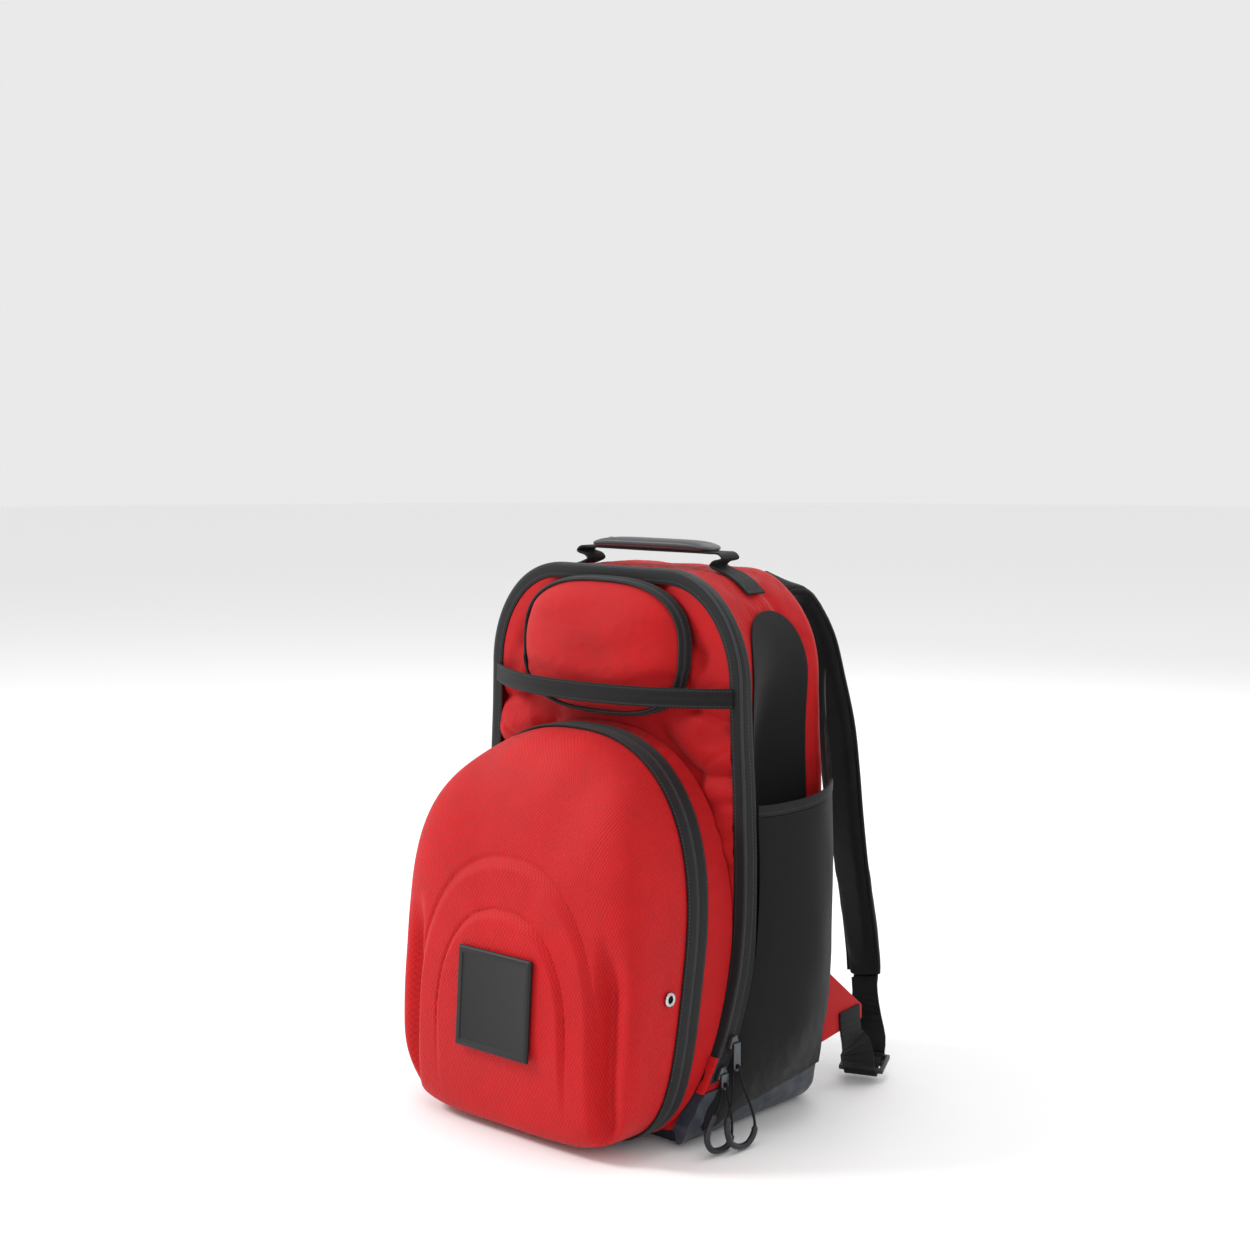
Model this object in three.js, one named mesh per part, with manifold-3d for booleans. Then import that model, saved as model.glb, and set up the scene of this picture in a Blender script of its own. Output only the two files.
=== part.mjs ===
import * as THREE from 'three';
import { mergeVertices } from 'three/addons/utils/BufferGeometryUtils.js';
import Module from 'manifold-3d';

// A backpack for two baseball bats, in millimetres: X to the wearer's side, -Y to the front, Z up.
// The origin is the middle of the footprint on the floor.

const wasm = await Module();
wasm.setup();

// Body of the bag
const bodyHeight = 504;
const bodyHalfWidth = 160;
const backDepth = 64;
const frontDepth = 62;
const frontLean = 80;
const leanHeight = 230;
const leanPower = 2.2;
const wall = 3;
const footRadius = 25;
const footTuck = 28;
const footTuckHeight = 32;
const shoulderWidth = 86;
const shoulderHeight = 100;
const backRadius = 16;
const fit = 0.4;

// Hollow down each side where a bat lies
const channelDepth = 36;
const channelHalfLength = 55;
const channelMiddle = 2;
const channelFloor = 30;
const channelTop = 482;

// Main zip, its two visible tapes and the boot below it
const tapeThickness = 2;
const zipFrontWidth = 11;
const zipSideWidthTop = 10;
const zipSideWidthFoot = 18;
const zipEndHeight = 58;
const bootThickness = 2.5;
const footRise = fit + bootThickness;
const bootHeight = 50;

// Front panel
const panelThickness = 2.6;
const panelBulge = 9;
const panelSeat = 2;
const footSeat = 1;
const upperSeat = 1.75;

// Moulded lower pocket
const domeHalfWidth = 148;
const domeTop = 360;
const domeBottom = 5;
const domeMiddle = 165;
const domeFrontDepth = 216;
const domeTopDepth = 98;
const domeLean = 50;
const domeWall = 3.5;
const domeFaceDrop = 35;
const domeFaceTilt = 4;
const domeRoundness = { side: 7, top: 3.1 };
const domeZipWidth = 27;
const domeZipBack = 11;
const gussetThickness = 2.5;
const gussetFlare = 4;
const archRise = 4;

// Upper pocket
const upperHalfWidth = 99;
const upperMiddle = 434;
const upperHalfHeight = 61;
const upperDepth = 30;
const upperWall = 2.5;

// Patch and eyelets on the moulded pocket
const patchSide = 91;
const patchThickness = 5;
const patchHeight = 125;
const patchRim = 6;
const patchBevel = 1.5;
const patchSink = 1;
const eyeletRadius = 5;
const eyeletBore = 2.5;
const eyeletHeight = 143;
const eyeletDepth = 152;
const eyeletSink = 0.1;

// Helmet strap across the front
const helmetStrapWidth = 18;
const helmetStrapThickness = 2.2;
const helmetStrapHeight = 396;
const helmetStrapBow = 46;

// Bat sleeves
const sleeveThickness = 2.5;
const sleeveReach = 27;
const sleeveMouthFront = 299;
const sleeveMouthRear = 318;
const sleeveRearRise = 105;
const sleeveBottomFront = 14;
const sleeveBottomRear = 38;
const bindingHeight = 11;
const bindingThickness = 3.6;
const rubThickness = 1.4;

// Grab handle
const gripLength = 148;
const gripWidth = 30;
const gripThickness = 9;
const handleHeight = 529.5;
const handleWebWidth = 25;
const handleWebThickness = 2;
const handleReach = 91;
const handleFoot = 77;
const handleTail = 122;

// Back padding
const backPadThickness = 13;
const backPadInset = 24;
const backPadTop = 456;

// Shoulder straps
const strapWidth = 58;
const strapThickness = 13;
const strapWebWidth = 32;
const strapWebThickness = 2;
const lockWidth = 44;
const lockHeight = 30;
const lockThickness = 4.5;
const lockRail = 4;
const anchorThickness = 3;
const anchorReach = 68;
const anchorTop = 128;
const anchorBottom = 54;
const anchorTipHeight = 70;

// Zip pulls
const sliderLength = 14;
const sliderWidth = 9;
const sliderThickness = 5;
const tabLength = 26;
const tabWidth = 9;
const tabThickness = 2;
const pullCordDiameter = 2.4;
const pullGripDiameter = 5.6;
const endTabLength = 30;
const endTabWidth = 8;
const endTabDrop = 8;
const endTabOver = 3.5;
const upperSliderHeight = 92;
const lowerSliderHeight = 66;

const red = new THREE.Color('#c4161c');
const black = new THREE.Color('#1c1d1f');
const colours = {
  fabric: { color: red, roughness: 0.8, metalness: 0 },
  moulded: { color: new THREE.Color('#c8181d'), roughness: 0.7, metalness: 0 },
  webbing: { color: black, roughness: 0.85, metalness: 0 },
  stretch: { color: new THREE.Color('#19181a'), roughness: 0.9, metalness: 0 },
  boot: { color: new THREE.Color('#23272d'), roughness: 0.45, metalness: 0 },
  rubber: { color: new THREE.Color('#2a2a2a'), roughness: 0.6, metalness: 0 },
  mesh: { color: new THREE.Color('#141414'), roughness: 0.95, metalness: 0 },
  grip: { color: new THREE.Color('#4c4e52'), roughness: 0.6, metalness: 0 },
  plastic: { color: new THREE.Color('#26282a'), roughness: 0.5, metalness: 0 },
  metal: { color: new THREE.Color('#9a9ca0'), roughness: 0.35, metalness: 1 },
};

const { lerp, clamp, smoothstep } = THREE.MathUtils;
const vec = (x, y, z) => new THREE.Vector3(x, y, z);
const bag = new THREE.Group();

// Adds one named piece to the bag.
function piece(name, geometry, finish, place) {
  const mesh = new THREE.Mesh(geometry, new THREE.MeshStandardMaterial(colours[finish]));
  mesh.name = name;
  if (place) {
    mesh.applyMatrix4(place);
  }
  bag.add(mesh);
  return mesh;
}

// Turns a vertex list and a triangle list into a geometry whose faces point out.
function closedGeometry(points, triangles) {
  let volume = 0;
  for (const [a, b, c] of triangles) {
    volume += points[a].dot(points[b].clone().cross(points[c]));
  }
  const index = triangles.flatMap(([a, b, c]) => (volume > 0 ? [a, b, c] : [a, c, b]));
  const geometry = new THREE.BufferGeometry();
  const position = new Float32Array(points.flatMap((p) => [p.x, p.y, p.z]));
  geometry.setAttribute('position', new THREE.BufferAttribute(position, 3));
  geometry.setIndex(index);
  geometry.computeVertexNormals();
  return geometry;
}

// Joins loops of equal count into one closed body: open ends get a fan, a ring joins its last loop to its first.
// Each face is split along its shorter diagonal, so that both sides of a wall bend alike.
function loft(loops, ring = false) {
  const count = loops[0].length;
  const points = loops.flat();
  const triangles = [];
  const spans = ring ? loops.length : loops.length - 1;
  for (let row = 0; row < spans; row += 1) {
    const next = (row + 1) % loops.length;
    for (let k = 0; k < count; k += 1) {
      const a = row * count + k;
      const b = row * count + ((k + 1) % count);
      const c = next * count + k;
      const d = next * count + ((k + 1) % count);
      const shorter = points[a].distanceTo(points[d]) < points[b].distanceTo(points[c]) + 1e-3;
      triangles.push(...(shorter ? [[a, b, d], [a, d, c]] : [[a, b, c], [b, d, c]]));
    }
  }
  if (!ring) {
    for (const [row, turn] of [[0, 1], [loops.length - 1, -1]]) {
      const centre = points.length;
      points.push(loops[row].reduce((sum, p) => sum.add(p), vec(0, 0, 0)).divideScalar(count));
      for (let k = 0; k < count; k += 1) {
        const a = row * count + k;
        const b = row * count + ((k + 1) % count);
        triangles.push(turn > 0 ? [centre, b, a] : [centre, a, b]);
      }
    }
  }
  return closedGeometry(points, triangles);
}

// Makes a wall of even thickness from a surface given by two shares, with its rim closed.
function sheet(surface, columns, rows, thickness) {
  const step = 0.002;
  const front = [];
  const back = [];
  for (let row = 0; row <= rows; row += 1) {
    for (let column = 0; column <= columns; column += 1) {
      const u = column / columns;
      const v = row / rows;
      const along = surface(Math.min(u + step, 1), v).sub(surface(Math.max(u - step, 0), v));
      const up = surface(u, Math.min(v + step, 1)).sub(surface(u, Math.max(v - step, 0)));
      const normal = along.cross(up).normalize().multiplyScalar(thickness);
      const point = surface(u, v);
      front.push(point);
      back.push(point.clone().add(normal));
    }
  }
  const wide = columns + 1;
  const offset = front.length;
  const triangles = [];
  for (let row = 0; row < rows; row += 1) {
    for (let column = 0; column < columns; column += 1) {
      const a = row * wide + column;
      const [b, c, d] = [a + 1, a + wide, a + wide + 1];
      triangles.push([a, d, b], [a, c, d]);
      triangles.push([a + offset, b + offset, d + offset], [a + offset, d + offset, c + offset]);
    }
  }
  const rim = [];
  for (let column = 0; column < columns; column += 1) rim.push(column);
  for (let row = 0; row < rows; row += 1) rim.push(row * wide + columns);
  for (let column = columns; column > 0; column -= 1) rim.push(rows * wide + column);
  for (let row = rows; row > 0; row -= 1) rim.push(row * wide);
  rim.forEach((a, k) => {
    const b = rim[(k + 1) % rim.length];
    triangles.push([a, b, b + offset], [a, b + offset, a + offset]);
  });
  return closedGeometry(front.concat(back), triangles);
}

// Boolean work on closed geometries
function toSolid(geometry) {
  const bare = geometry.clone();
  bare.deleteAttribute('normal');
  bare.deleteAttribute('uv');
  const merged = mergeVertices(bare, 1e-4);
  return new wasm.Manifold(new wasm.Mesh({
    numProp: 3,
    vertProperties: new Float32Array(merged.attributes.position.array),
    triVerts: new Uint32Array(merged.index.array),
  }));
}

function fromSolid(solid) {
  const mesh = solid.getMesh();
  const geometry = new THREE.BufferGeometry();
  geometry.setAttribute('position', new THREE.BufferAttribute(new Float32Array(mesh.vertProperties), 3));
  geometry.setIndex([...mesh.triVerts]);
  geometry.computeVertexNormals();
  return geometry;
}

function boxSolid(low, high) {
  const size = high.clone().sub(low);
  const box = new THREE.BoxGeometry(size.x, size.y, size.z);
  box.translate(...low.clone().add(high).multiplyScalar(0.5).toArray());
  return toSolid(box);
}

// Line of the main zip seen from the side: upright above, leaning forward below, tucked in at the foot.
function frontLine(z) {
  const share = clamp((leanHeight - z) / leanHeight, 0, 1);
  const low = clamp((footTuckHeight - z) / (footTuckHeight - footRise), 0, 1);
  const tuck = footTuck * (1 - Math.sqrt(1 - low * low));
  return tuck - (frontDepth + frontLean * share ** leanPower);
}

// Half width of the body at each height, as shares of its height and of its greatest half width.
const sideShares = [
  { height: 0.055, width: 0.93 },
  { height: 0.1, width: 0.955 },
  { height: 0.18, width: 0.985 },
  { height: 0.3, width: 1 },
  { height: 0.5, width: 1 },
  { height: 0.62, width: 0.988 },
  { height: 0.72, width: 0.97 },
  { height: 0.8, width: 0.963 },
];

function halfWidthAt(z) {
  const share = z / bodyHeight;
  const last = sideShares[sideShares.length - 1];
  if (share <= sideShares[0].height) return bodyHalfWidth * sideShares[0].width;
  if (share >= last.height) return bodyHalfWidth * last.width;
  const row = sideShares.findIndex((entry) => entry.height > share);
  const [low, high] = [sideShares[row - 1], sideShares[row]];
  const part = (share - low.height) / (high.height - low.height);
  return bodyHalfWidth * lerp(low.width, high.width, part);
}

// Outline of the body seen from the front, as points with outward directions, moved out by grow(z).
const outlineSplit = { foot: 2, corner: 3, side: 7, shoulder: 5, top: 2 };

function bodyOutline(grow) {
  const half = [];
  const footWidth = halfWidthAt(footRise + footRadius);
  const shoulderX = halfWidthAt(bodyHeight) - shoulderWidth;
  const shoulderZ = bodyHeight - shoulderHeight;
  for (let k = 0; k < outlineSplit.foot; k += 1) {
    half.push([((footWidth - footRadius) * k) / outlineSplit.foot, footRise]);
  }
  for (let k = 0; k < outlineSplit.corner; k += 1) {
    const angle = (-Math.PI / 2) * (1 - k / outlineSplit.corner);
    half.push([
      footWidth - footRadius + footRadius * Math.cos(angle),
      footRise + footRadius + footRadius * Math.sin(angle),
    ]);
  }
  for (let k = 0; k < outlineSplit.side; k += 1) {
    const z = lerp(footRise + footRadius, shoulderZ, k / outlineSplit.side);
    half.push([halfWidthAt(z), z]);
  }
  for (let k = 0; k < outlineSplit.shoulder; k += 1) {
    const angle = (Math.PI / 2) * (k / outlineSplit.shoulder);
    half.push([shoulderX + shoulderWidth * Math.cos(angle), shoulderZ + shoulderHeight * Math.sin(angle)]);
  }
  for (let k = 0; k <= outlineSplit.top; k += 1) {
    half.push([shoulderX * (1 - k / outlineSplit.top), bodyHeight]);
  }
  const left = half.slice(1, -1).reverse().map(([x, z]) => [-x, z]);
  return offsetOutline(half.concat(left), grow);
}

function offsetOutline(outline, grow) {
  return outline.map(([x, z], k) => {
    const before = outline[(k + outline.length - 1) % outline.length];
    const after = outline[(k + 1) % outline.length];
    const run = Math.hypot(after[0] - before[0], after[1] - before[1]);
    const nx = (after[1] - before[1]) / run;
    const nz = -(after[0] - before[0]) / run;
    const out = grow(z);
    return { x: x + nx * out, z: z + nz * out, nx, nz };
  });
}

// Depth of the bat channel at a place on the side wall.
function channelAt(y, z) {
  const along = (y - channelMiddle) / channelHalfLength;
  const across = Math.max(0, 1 - along * along) ** 2;
  const low = smoothstep(z, channelFloor, channelFloor * 2.6);
  const high = 1 - smoothstep(z, channelTop * 0.66, channelTop);
  return channelDepth * across * low * high;
}

const bodyStations = [0, 0.15, 0.32, 0.48, 0.64, 0.82, 1];
const backStations = [0.5, 1];
const capInset = 22;

// The whole body as one solid, grown outwards by grow(z), with its front face moved by shift(z).
function bodySolid(grow, shift, backShift = 0, dent = 1) {
  const outer = bodyOutline(grow);
  const inset = bodyOutline((z) => grow(z) - capInset);
  const back = backDepth + backShift;
  const loops = [inset.map(({ x, z }) => vec(x, frontLine(z) + shift(z), z))];
  const dented = (p, y, inward) => {
    const x = p.x - p.nx * (inward + dent * channelAt(y, p.z));
    return vec(x, y, p.z - p.nz * inward);
  };
  for (const station of bodyStations) {
    loops.push(outer.map((p) => dented(p, lerp(frontLine(p.z) + shift(p.z), back - backRadius, station), 0)));
  }
  for (const station of backStations) {
    const angle = (station * Math.PI) / 2;
    const inward = backRadius * (1 - Math.cos(angle));
    loops.push(outer.map((p) => dented(p, back - backRadius + backRadius * Math.sin(angle), inward)));
  }
  return toSolid(loft(loops));
}

const even = (value) => () => value;
const openFront = -60;

// Red tub: sides, top, bottom and back in one wall, open at the front.
const tub = bodySolid(even(0), even(0)).subtract(bodySolid(even(-wall), even(openFront), -wall));
piece('main_shell', fromSolid(tub), 'fabric');

// Zip tapes and boot wrap the front edge of the tub with an angle of two legs.
function edgeAngle(thickness, sideWidth) {
  const skin = bodySolid(even(fit + thickness), even(-fit - thickness), fit + thickness);
  const core = bodySolid(even(fit), even(-fit), fit);
  const mouth = bodySolid(even(-zipFrontWidth), even(openFront), -wall, 0);
  const angle = skin.subtract(core).subtract(mouth);
  if (!sideWidth) return angle;
  return angle.subtract(bodySolid(even(2 * thickness + 8), sideWidth, 2 * thickness + 8, 0));
}

const zipSideWidth = (z) => lerp(zipSideWidthFoot, zipSideWidthTop, smoothstep(z, leanHeight, bodyHeight));
const reach = 2 * bodyHalfWidth;
const aboveZipEnd = boxSolid(vec(-reach, -reach, zipEndHeight), vec(reach, reach, bodyHeight + reach));
piece('main_zip', fromSolid(edgeAngle(tapeThickness, zipSideWidth).intersect(aboveZipEnd)), 'webbing');

const belowZipEnd = boxSolid(vec(-reach, -reach, -reach), vec(reach, 0, zipEndHeight - fit));
const belowBoot = boxSolid(vec(-reach, -1, -reach), vec(reach, reach, bootHeight));
const bootRegion = belowZipEnd.add(belowBoot);
piece('base_boot', fromSolid(edgeAngle(bootThickness).intersect(bootRegion)), 'boot');

// Folds that run from the pockets to the main zip: ends as shares of half width and height, seen from the front.
const panelFolds = [
  { fromX: 0.36, fromZ: 0.965, toX: 0.66, toZ: 0.85, depth: -7, width: 11 },
  { fromX: 0.56, fromZ: 0.87, toX: 0.72, toZ: 0.75, depth: 4, width: 12 },
  { fromX: 0.62, fromZ: 0.765, toX: 0.93, toZ: 0.735, depth: -5, width: 9 },
  { fromX: 0.4, fromZ: 0.715, toX: 0.66, toZ: 0.64, depth: -6, width: 11 },
  { fromX: 0.66, fromZ: 0.64, toX: 0.95, toZ: 0.645, depth: -4, width: 9 },
  { fromX: 0.62, fromZ: 0.7, toX: 0.85, toZ: 0.68, depth: 4, width: 11 },
];

function foldHeight(x, z) {
  let height = 0;
  for (const fold of panelFolds) {
    const a = new THREE.Vector2(fold.fromX * bodyHalfWidth, fold.fromZ * bodyHeight);
    const b = new THREE.Vector2(fold.toX * bodyHalfWidth, fold.toZ * bodyHeight);
    const line = b.clone().sub(a);
    const p = new THREE.Vector2(Math.abs(x), z).sub(a);
    const share = clamp(p.dot(line) / line.lengthSq(), 0, 1);
    const away = p.sub(line.multiplyScalar(share)).length() / fold.width;
    height += fold.depth * Math.exp(-away * away);
  }
  return height;
}

// Front face of the panel that the main zip opens, without its folds
function panelBase(x, z) {
  const rho = Math.hypot(x / bodyHalfWidth, (z - bodyHeight / 2) / (bodyHeight / 2));
  return frontLine(z) - fit - panelThickness - panelBulge * Math.max(0, 1 - rho * rho);
}

const panelFace = (x, z) => panelBase(x, z) - foldHeight(x, z);

// Where a pocket is sewn on, clear of the folds that stand proud.
const panelSeatAt = (x, z, gap) => panelBase(x, z) - Math.max(0, foldHeight(x, z)) - gap;

const panelRings = [1, 0.95, 0.89, 0.82, 0.74, 0.64, 0.5, 0.26];
const panelRimOutline = bodyOutline(even(-zipFrontWidth - fit));
const panelCentre = bodyHeight / 2;
const panelLoop = (share, back) => panelRimOutline.map((p) => {
  const x = p.x * share;
  const z = panelCentre + (p.z - panelCentre) * share;
  return vec(x, panelFace(x, z) + back, z);
});
piece('front_panel', loft([
  ...panelRings.slice().reverse().map((share) => panelLoop(share, panelThickness)),
  ...panelRings.map((share) => panelLoop(share, 0)),
]), 'fabric');

// Rim of the moulded pocket: a taller rounded upper half and a boxy lower half.
const domePower = { upper: 2.45, lower: 5 };
const domePoints = 40;

function roundedPoint(angle, halfWidth, up, down, power) {
  const c = Math.cos(angle);
  const s = Math.sin(angle);
  const n = s > 0 ? power.upper : power.lower;
  const radius = (Math.abs(c) ** n + Math.abs(s) ** n) ** (-1 / n);
  return [halfWidth * radius * c, (s > 0 ? up : down) * radius * s];
}

function domeOutline(grow) {
  const ring = [];
  for (let k = 0; k < domePoints; k += 1) {
    const angle = (2 * Math.PI * k) / domePoints;
    const [x, z] = roundedPoint(angle, domeHalfWidth, domeTop - domeMiddle, domeMiddle - domeBottom, domePower);
    ring.push([x, z + domeMiddle]);
  }
  return offsetOutline(ring, even(grow));
}

function domeLine(z) {
  const share = clamp((domeTop - z) / domeTop, 0, 1);
  return -(domeTopDepth + domeLean * share ** 1.6);
}

const panelToDome = (z) => panelBase(0, z) - domeLine(z);
const domeZipRear = (z) => Math.min(domeZipBack, 0.55 * panelToDome(z));

// Two nested raised arches on the face of the moulded pocket.
const faceArches = [
  { halfWidth: 0.73, foot: 0.26, top: 0.69 },
  { halfWidth: 0.53, foot: 0.26, top: 0.565 },
];

function archHeight(x, z) {
  let height = 0;
  for (const arch of faceArches) {
    const foot = arch.foot * domeTop;
    const across = Math.abs(x) / (arch.halfWidth * domeHalfWidth);
    const up = Math.max(0, z - foot) / (arch.top * domeTop - foot);
    const edge = 1 - (across ** 2.3 + up ** 2.3) ** (1 / 2.3);
    height += archRise * smoothstep(edge, -0.03, 0.09) * smoothstep(z, foot * 0.25, foot * 1.2);
  }
  return height;
}

const domeAngles = [0, 0.14, 0.3, 0.45, 0.58, 0.7, 0.82, 0.91, 0.965];
const domeInnerAngles = [0, 0.2, 0.45, 0.68, 0.88];

// One loop of the moulded shell, from its rim at share 0 to its face at share 1, thinned inwards by inset.
function domeLoop(share, inset) {
  const angle = (share * Math.PI) / 2;
  return domeOutline(-inset).map((p) => {
    const roundness = lerp(domeRoundness.side, domeRoundness.top, smoothstep(p.nz, 0.25, 0.95));
    const spread = Math.cos(angle) ** (2 / roundness);
    const forward = Math.sin(angle) ** (2 / roundness);
    const x = p.x * spread;
    const z = domeMiddle - domeFaceDrop * (1 - spread) + (p.z - domeMiddle) * spread;
    const face = -domeFrontDepth + Math.tan((domeFaceTilt * Math.PI) / 180) * (z - patchHeight) + inset;
    const rise = archHeight(x, z) * forward ** 3;
    return vec(x, lerp(domeLine(p.z) - fit, face, forward) - rise + archRise * 2 * forward ** 3, z);
  });
}

const domeShell = toSolid(loft([
  ...domeInnerAngles.slice().reverse().map((share) => domeLoop(share, domeWall)),
  ...domeAngles.map((share) => domeLoop(share, 0)),
]));

// Vent holes through the sides of the moulded pocket, one eyelet in each.
const ventBore = new THREE.CylinderGeometry(eyeletBore, eyeletBore, 4 * domeHalfWidth, 14);
ventBore.rotateZ(Math.PI / 2);
ventBore.translate(0, -eyeletDepth, eyeletHeight);
piece('lower_pocket', fromSolid(domeShell.subtract(toSolid(ventBore))), 'moulded');

// Gusset between the front panel and the moulded pocket
function gussetLoop(station, inset) {
  const flare = gussetFlare * (1 - station) ** 2;
  return domeOutline(flare - inset).map(({ x, z }) => {
    const front = domeLine(z) + fit;
    const covered = front + domeZipRear(z) + fit;
    const seat = panelSeatAt(x, z, panelSeat + footSeat * (1 - smoothstep(z, bootHeight / 2, 2 * bootHeight)));
    const y = station > 0.999 ? front : lerp(seat, Math.min(covered, seat - fit), station / 0.9);
    return vec(x, y, z);
  });
}

const gussetStations = [0, 0.45, 0.9, 1];
piece('lower_pocket_gusset', loft([
  ...gussetStations.map((station) => gussetLoop(station, 0)),
  ...gussetStations.slice().reverse().map((station) => gussetLoop(station, gussetThickness)),
], true), 'fabric');

// Zip band around the moulded pocket, over the joint of pocket and gusset
const domeZipLoop = (grow, forward) => domeOutline(grow).map(({ x, z }) => {
  const y = forward ? domeLine(z) - (domeZipWidth - domeZipBack) : domeLine(z) + domeZipRear(z);
  return vec(x, y, z);
});
const bandIn = fit + 0.3;
const bandOut = bandIn + tapeThickness;
piece('lower_pocket_zip', loft([
  domeZipLoop(bandIn, true),
  domeZipLoop(bandOut, true),
  domeZipLoop(bandOut, false),
  domeZipLoop(bandIn, false),
], true), 'webbing');

// Patch: a square rubber plate with a bevelled rim, leaning with the face
const patchShape = new THREE.Shape();
const patchHalf = patchSide / 2 - patchBevel;
patchShape.moveTo(-patchHalf, -patchHalf);
patchShape.lineTo(patchHalf, -patchHalf);
patchShape.lineTo(patchHalf, patchHalf);
patchShape.lineTo(-patchHalf, patchHalf);
const patchBlock = new THREE.ExtrudeGeometry(patchShape, {
  depth: patchThickness - 2 * patchBevel,
  bevelEnabled: true,
  bevelThickness: patchBevel,
  bevelSize: patchBevel,
  bevelSegments: 1,
});
const faceLean = (domeFaceTilt * Math.PI) / 180;
const patchPlace = new THREE.Matrix4().makeTranslation(0, -domeFrontDepth - fit - patchBevel, patchHeight)
  .multiply(new THREE.Matrix4().makeRotationX(Math.PI / 2 - faceLean));
const patchTray = new THREE.BoxGeometry(patchSide - 2 * patchRim, patchSide - 2 * patchRim, patchThickness);
patchTray.translate(0, 0, 1.5 * patchThickness - patchBevel - patchSink);
piece('patch', fromSolid(
  toSolid(patchBlock.applyMatrix4(patchPlace)).subtract(toSolid(patchTray.applyMatrix4(patchPlace))),
), 'rubber');

for (const [side, sign] of [['right', 1], ['left', -1]]) {
  const ring = new THREE.LatheGeometry([
    new THREE.Vector2(eyeletBore, 0),
    new THREE.Vector2(eyeletRadius, 0),
    new THREE.Vector2(eyeletRadius - 0.6, 1.1),
    new THREE.Vector2(eyeletBore + 0.5, 1.3),
    new THREE.Vector2(eyeletBore, 0),
  ], 16);
  ring.rotateZ((-sign * Math.PI) / 2);
  ring.translate(sign * (domeHalfWidth - eyeletSink), -eyeletDepth, eyeletHeight);
  piece(`eyelet_${side}`, ring, 'metal');
}

// Upper pocket: a soft bulging shell on the front panel
const upperPower = { upper: 2.6, lower: 3 };
const upperPoints = 32;

function upperOutline(grow) {
  const ring = [];
  for (let k = 0; k < upperPoints; k += 1) {
    const angle = (2 * Math.PI * k) / upperPoints;
    const [x, z] = roundedPoint(angle, upperHalfWidth, upperHalfHeight, upperHalfHeight, upperPower);
    ring.push([x, z + upperMiddle]);
  }
  return offsetOutline(ring, even(grow));
}

const upperAngles = [0, 0.2, 0.42, 0.64, 0.86];

function upperLoop(share, inset) {
  const angle = (share * Math.PI) / 2;
  const spread = Math.cos(angle) ** 0.8;
  const forward = Math.sin(angle) ** 0.9;
  return upperOutline(-inset).map((p) => {
    const x = p.x * spread;
    const z = upperMiddle + (p.z - upperMiddle) * spread;
    const seat = panelSeatAt(p.x, p.z, upperSeat);
    return vec(x, lerp(seat, -frontDepth - panelBulge - upperDepth + inset, forward), z);
  });
}

piece('upper_pocket', loft([
  ...upperAngles.slice().reverse().map((share) => upperLoop(share, upperWall)),
  ...upperAngles.map((share) => upperLoop(share, 0)),
]), 'fabric');

// Zip band round the upper pocket, lying on its shoulder
const upperZipLoop = (lift, share) => {
  const angle = (share * Math.PI) / 2;
  const spread = Math.cos(angle) ** 0.8;
  const forward = Math.sin(angle) ** 0.9;
  return upperOutline(lift).map((p) => {
    const seat = panelSeatAt(p.x, p.z, upperSeat);
    const y = lerp(seat, -frontDepth - panelBulge - upperDepth, forward) - lift * forward;
    return vec(p.x * spread, y, upperMiddle + (p.z - upperMiddle) * spread);
  });
};
const upperZipShares = upperAngles.slice(0, 2);
piece('upper_pocket_zip', loft([
  ...upperZipShares.map((share) => upperZipLoop(fit + 0.4, share)),
  ...upperZipShares.slice().reverse().map((share) => upperZipLoop(fit + 0.4 + tapeThickness, share)),
], true), 'webbing');

// A flat strip along a list of stations: centre, width direction and thickness direction at each.
function strip(stations, corner = 0) {
  return loft(stations.map(({ centre, across, out, width, thickness }) => {
    const w = width / 2;
    const t = thickness / 2;
    if (!corner) {
      return [[w, -t], [w, t], [-w, t], [-w, -t]]
        .map(([a, b]) => centre.clone().addScaledVector(across, a).addScaledVector(out, b));
    }
    const cut = Math.min(w, t) * corner * 2;
    const ring = [[w, -t + cut], [w, t - cut], [w - cut, t], [-w + cut, t], [-w, t - cut], [-w, -t + cut],
      [-w + cut, -t], [w - cut, -t]];
    return ring.map(([a, b]) => centre.clone().addScaledVector(across, a).addScaledVector(out, b));
  }));
}

// Stations along a curve whose width keeps one direction
function ribbonStations(curve, steps, across, width, thickness) {
  const stations = [];
  for (let k = 0; k <= steps; k += 1) {
    const along = curve.getTangentAt(k / steps);
    const out = along.clone().cross(across).normalize();
    stations.push({ centre: curve.getPointAt(k / steps), across, out, width, thickness });
  }
  return stations;
}

const zAxis = vec(0, 0, 1);
const yAxis = vec(0, 1, 0);

// Helmet strap: from zip to zip across the front, bowed over the upper pocket
const helmetHalf = halfWidthAt(helmetStrapHeight) - 0.6 * zipFrontWidth;
const helmetEnd = frontDepth + tapeThickness + 2 * fit + helmetStrapThickness / 2 + 0.2;
const helmetPoints = [];
for (let k = 0; k <= 12; k += 1) {
  const share = -1 + k / 6;
  const y = -helmetEnd - helmetStrapBow * (1 - Math.abs(share) ** 2.4);
  helmetPoints.push(vec(share * helmetHalf, y, helmetStrapHeight));
}
const helmetCurve = new THREE.CatmullRomCurve3(helmetPoints);
piece('helmet_strap', strip(
  ribbonStations(helmetCurve, 20, zAxis, helmetStrapWidth, helmetStrapThickness),
), 'webbing');

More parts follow.
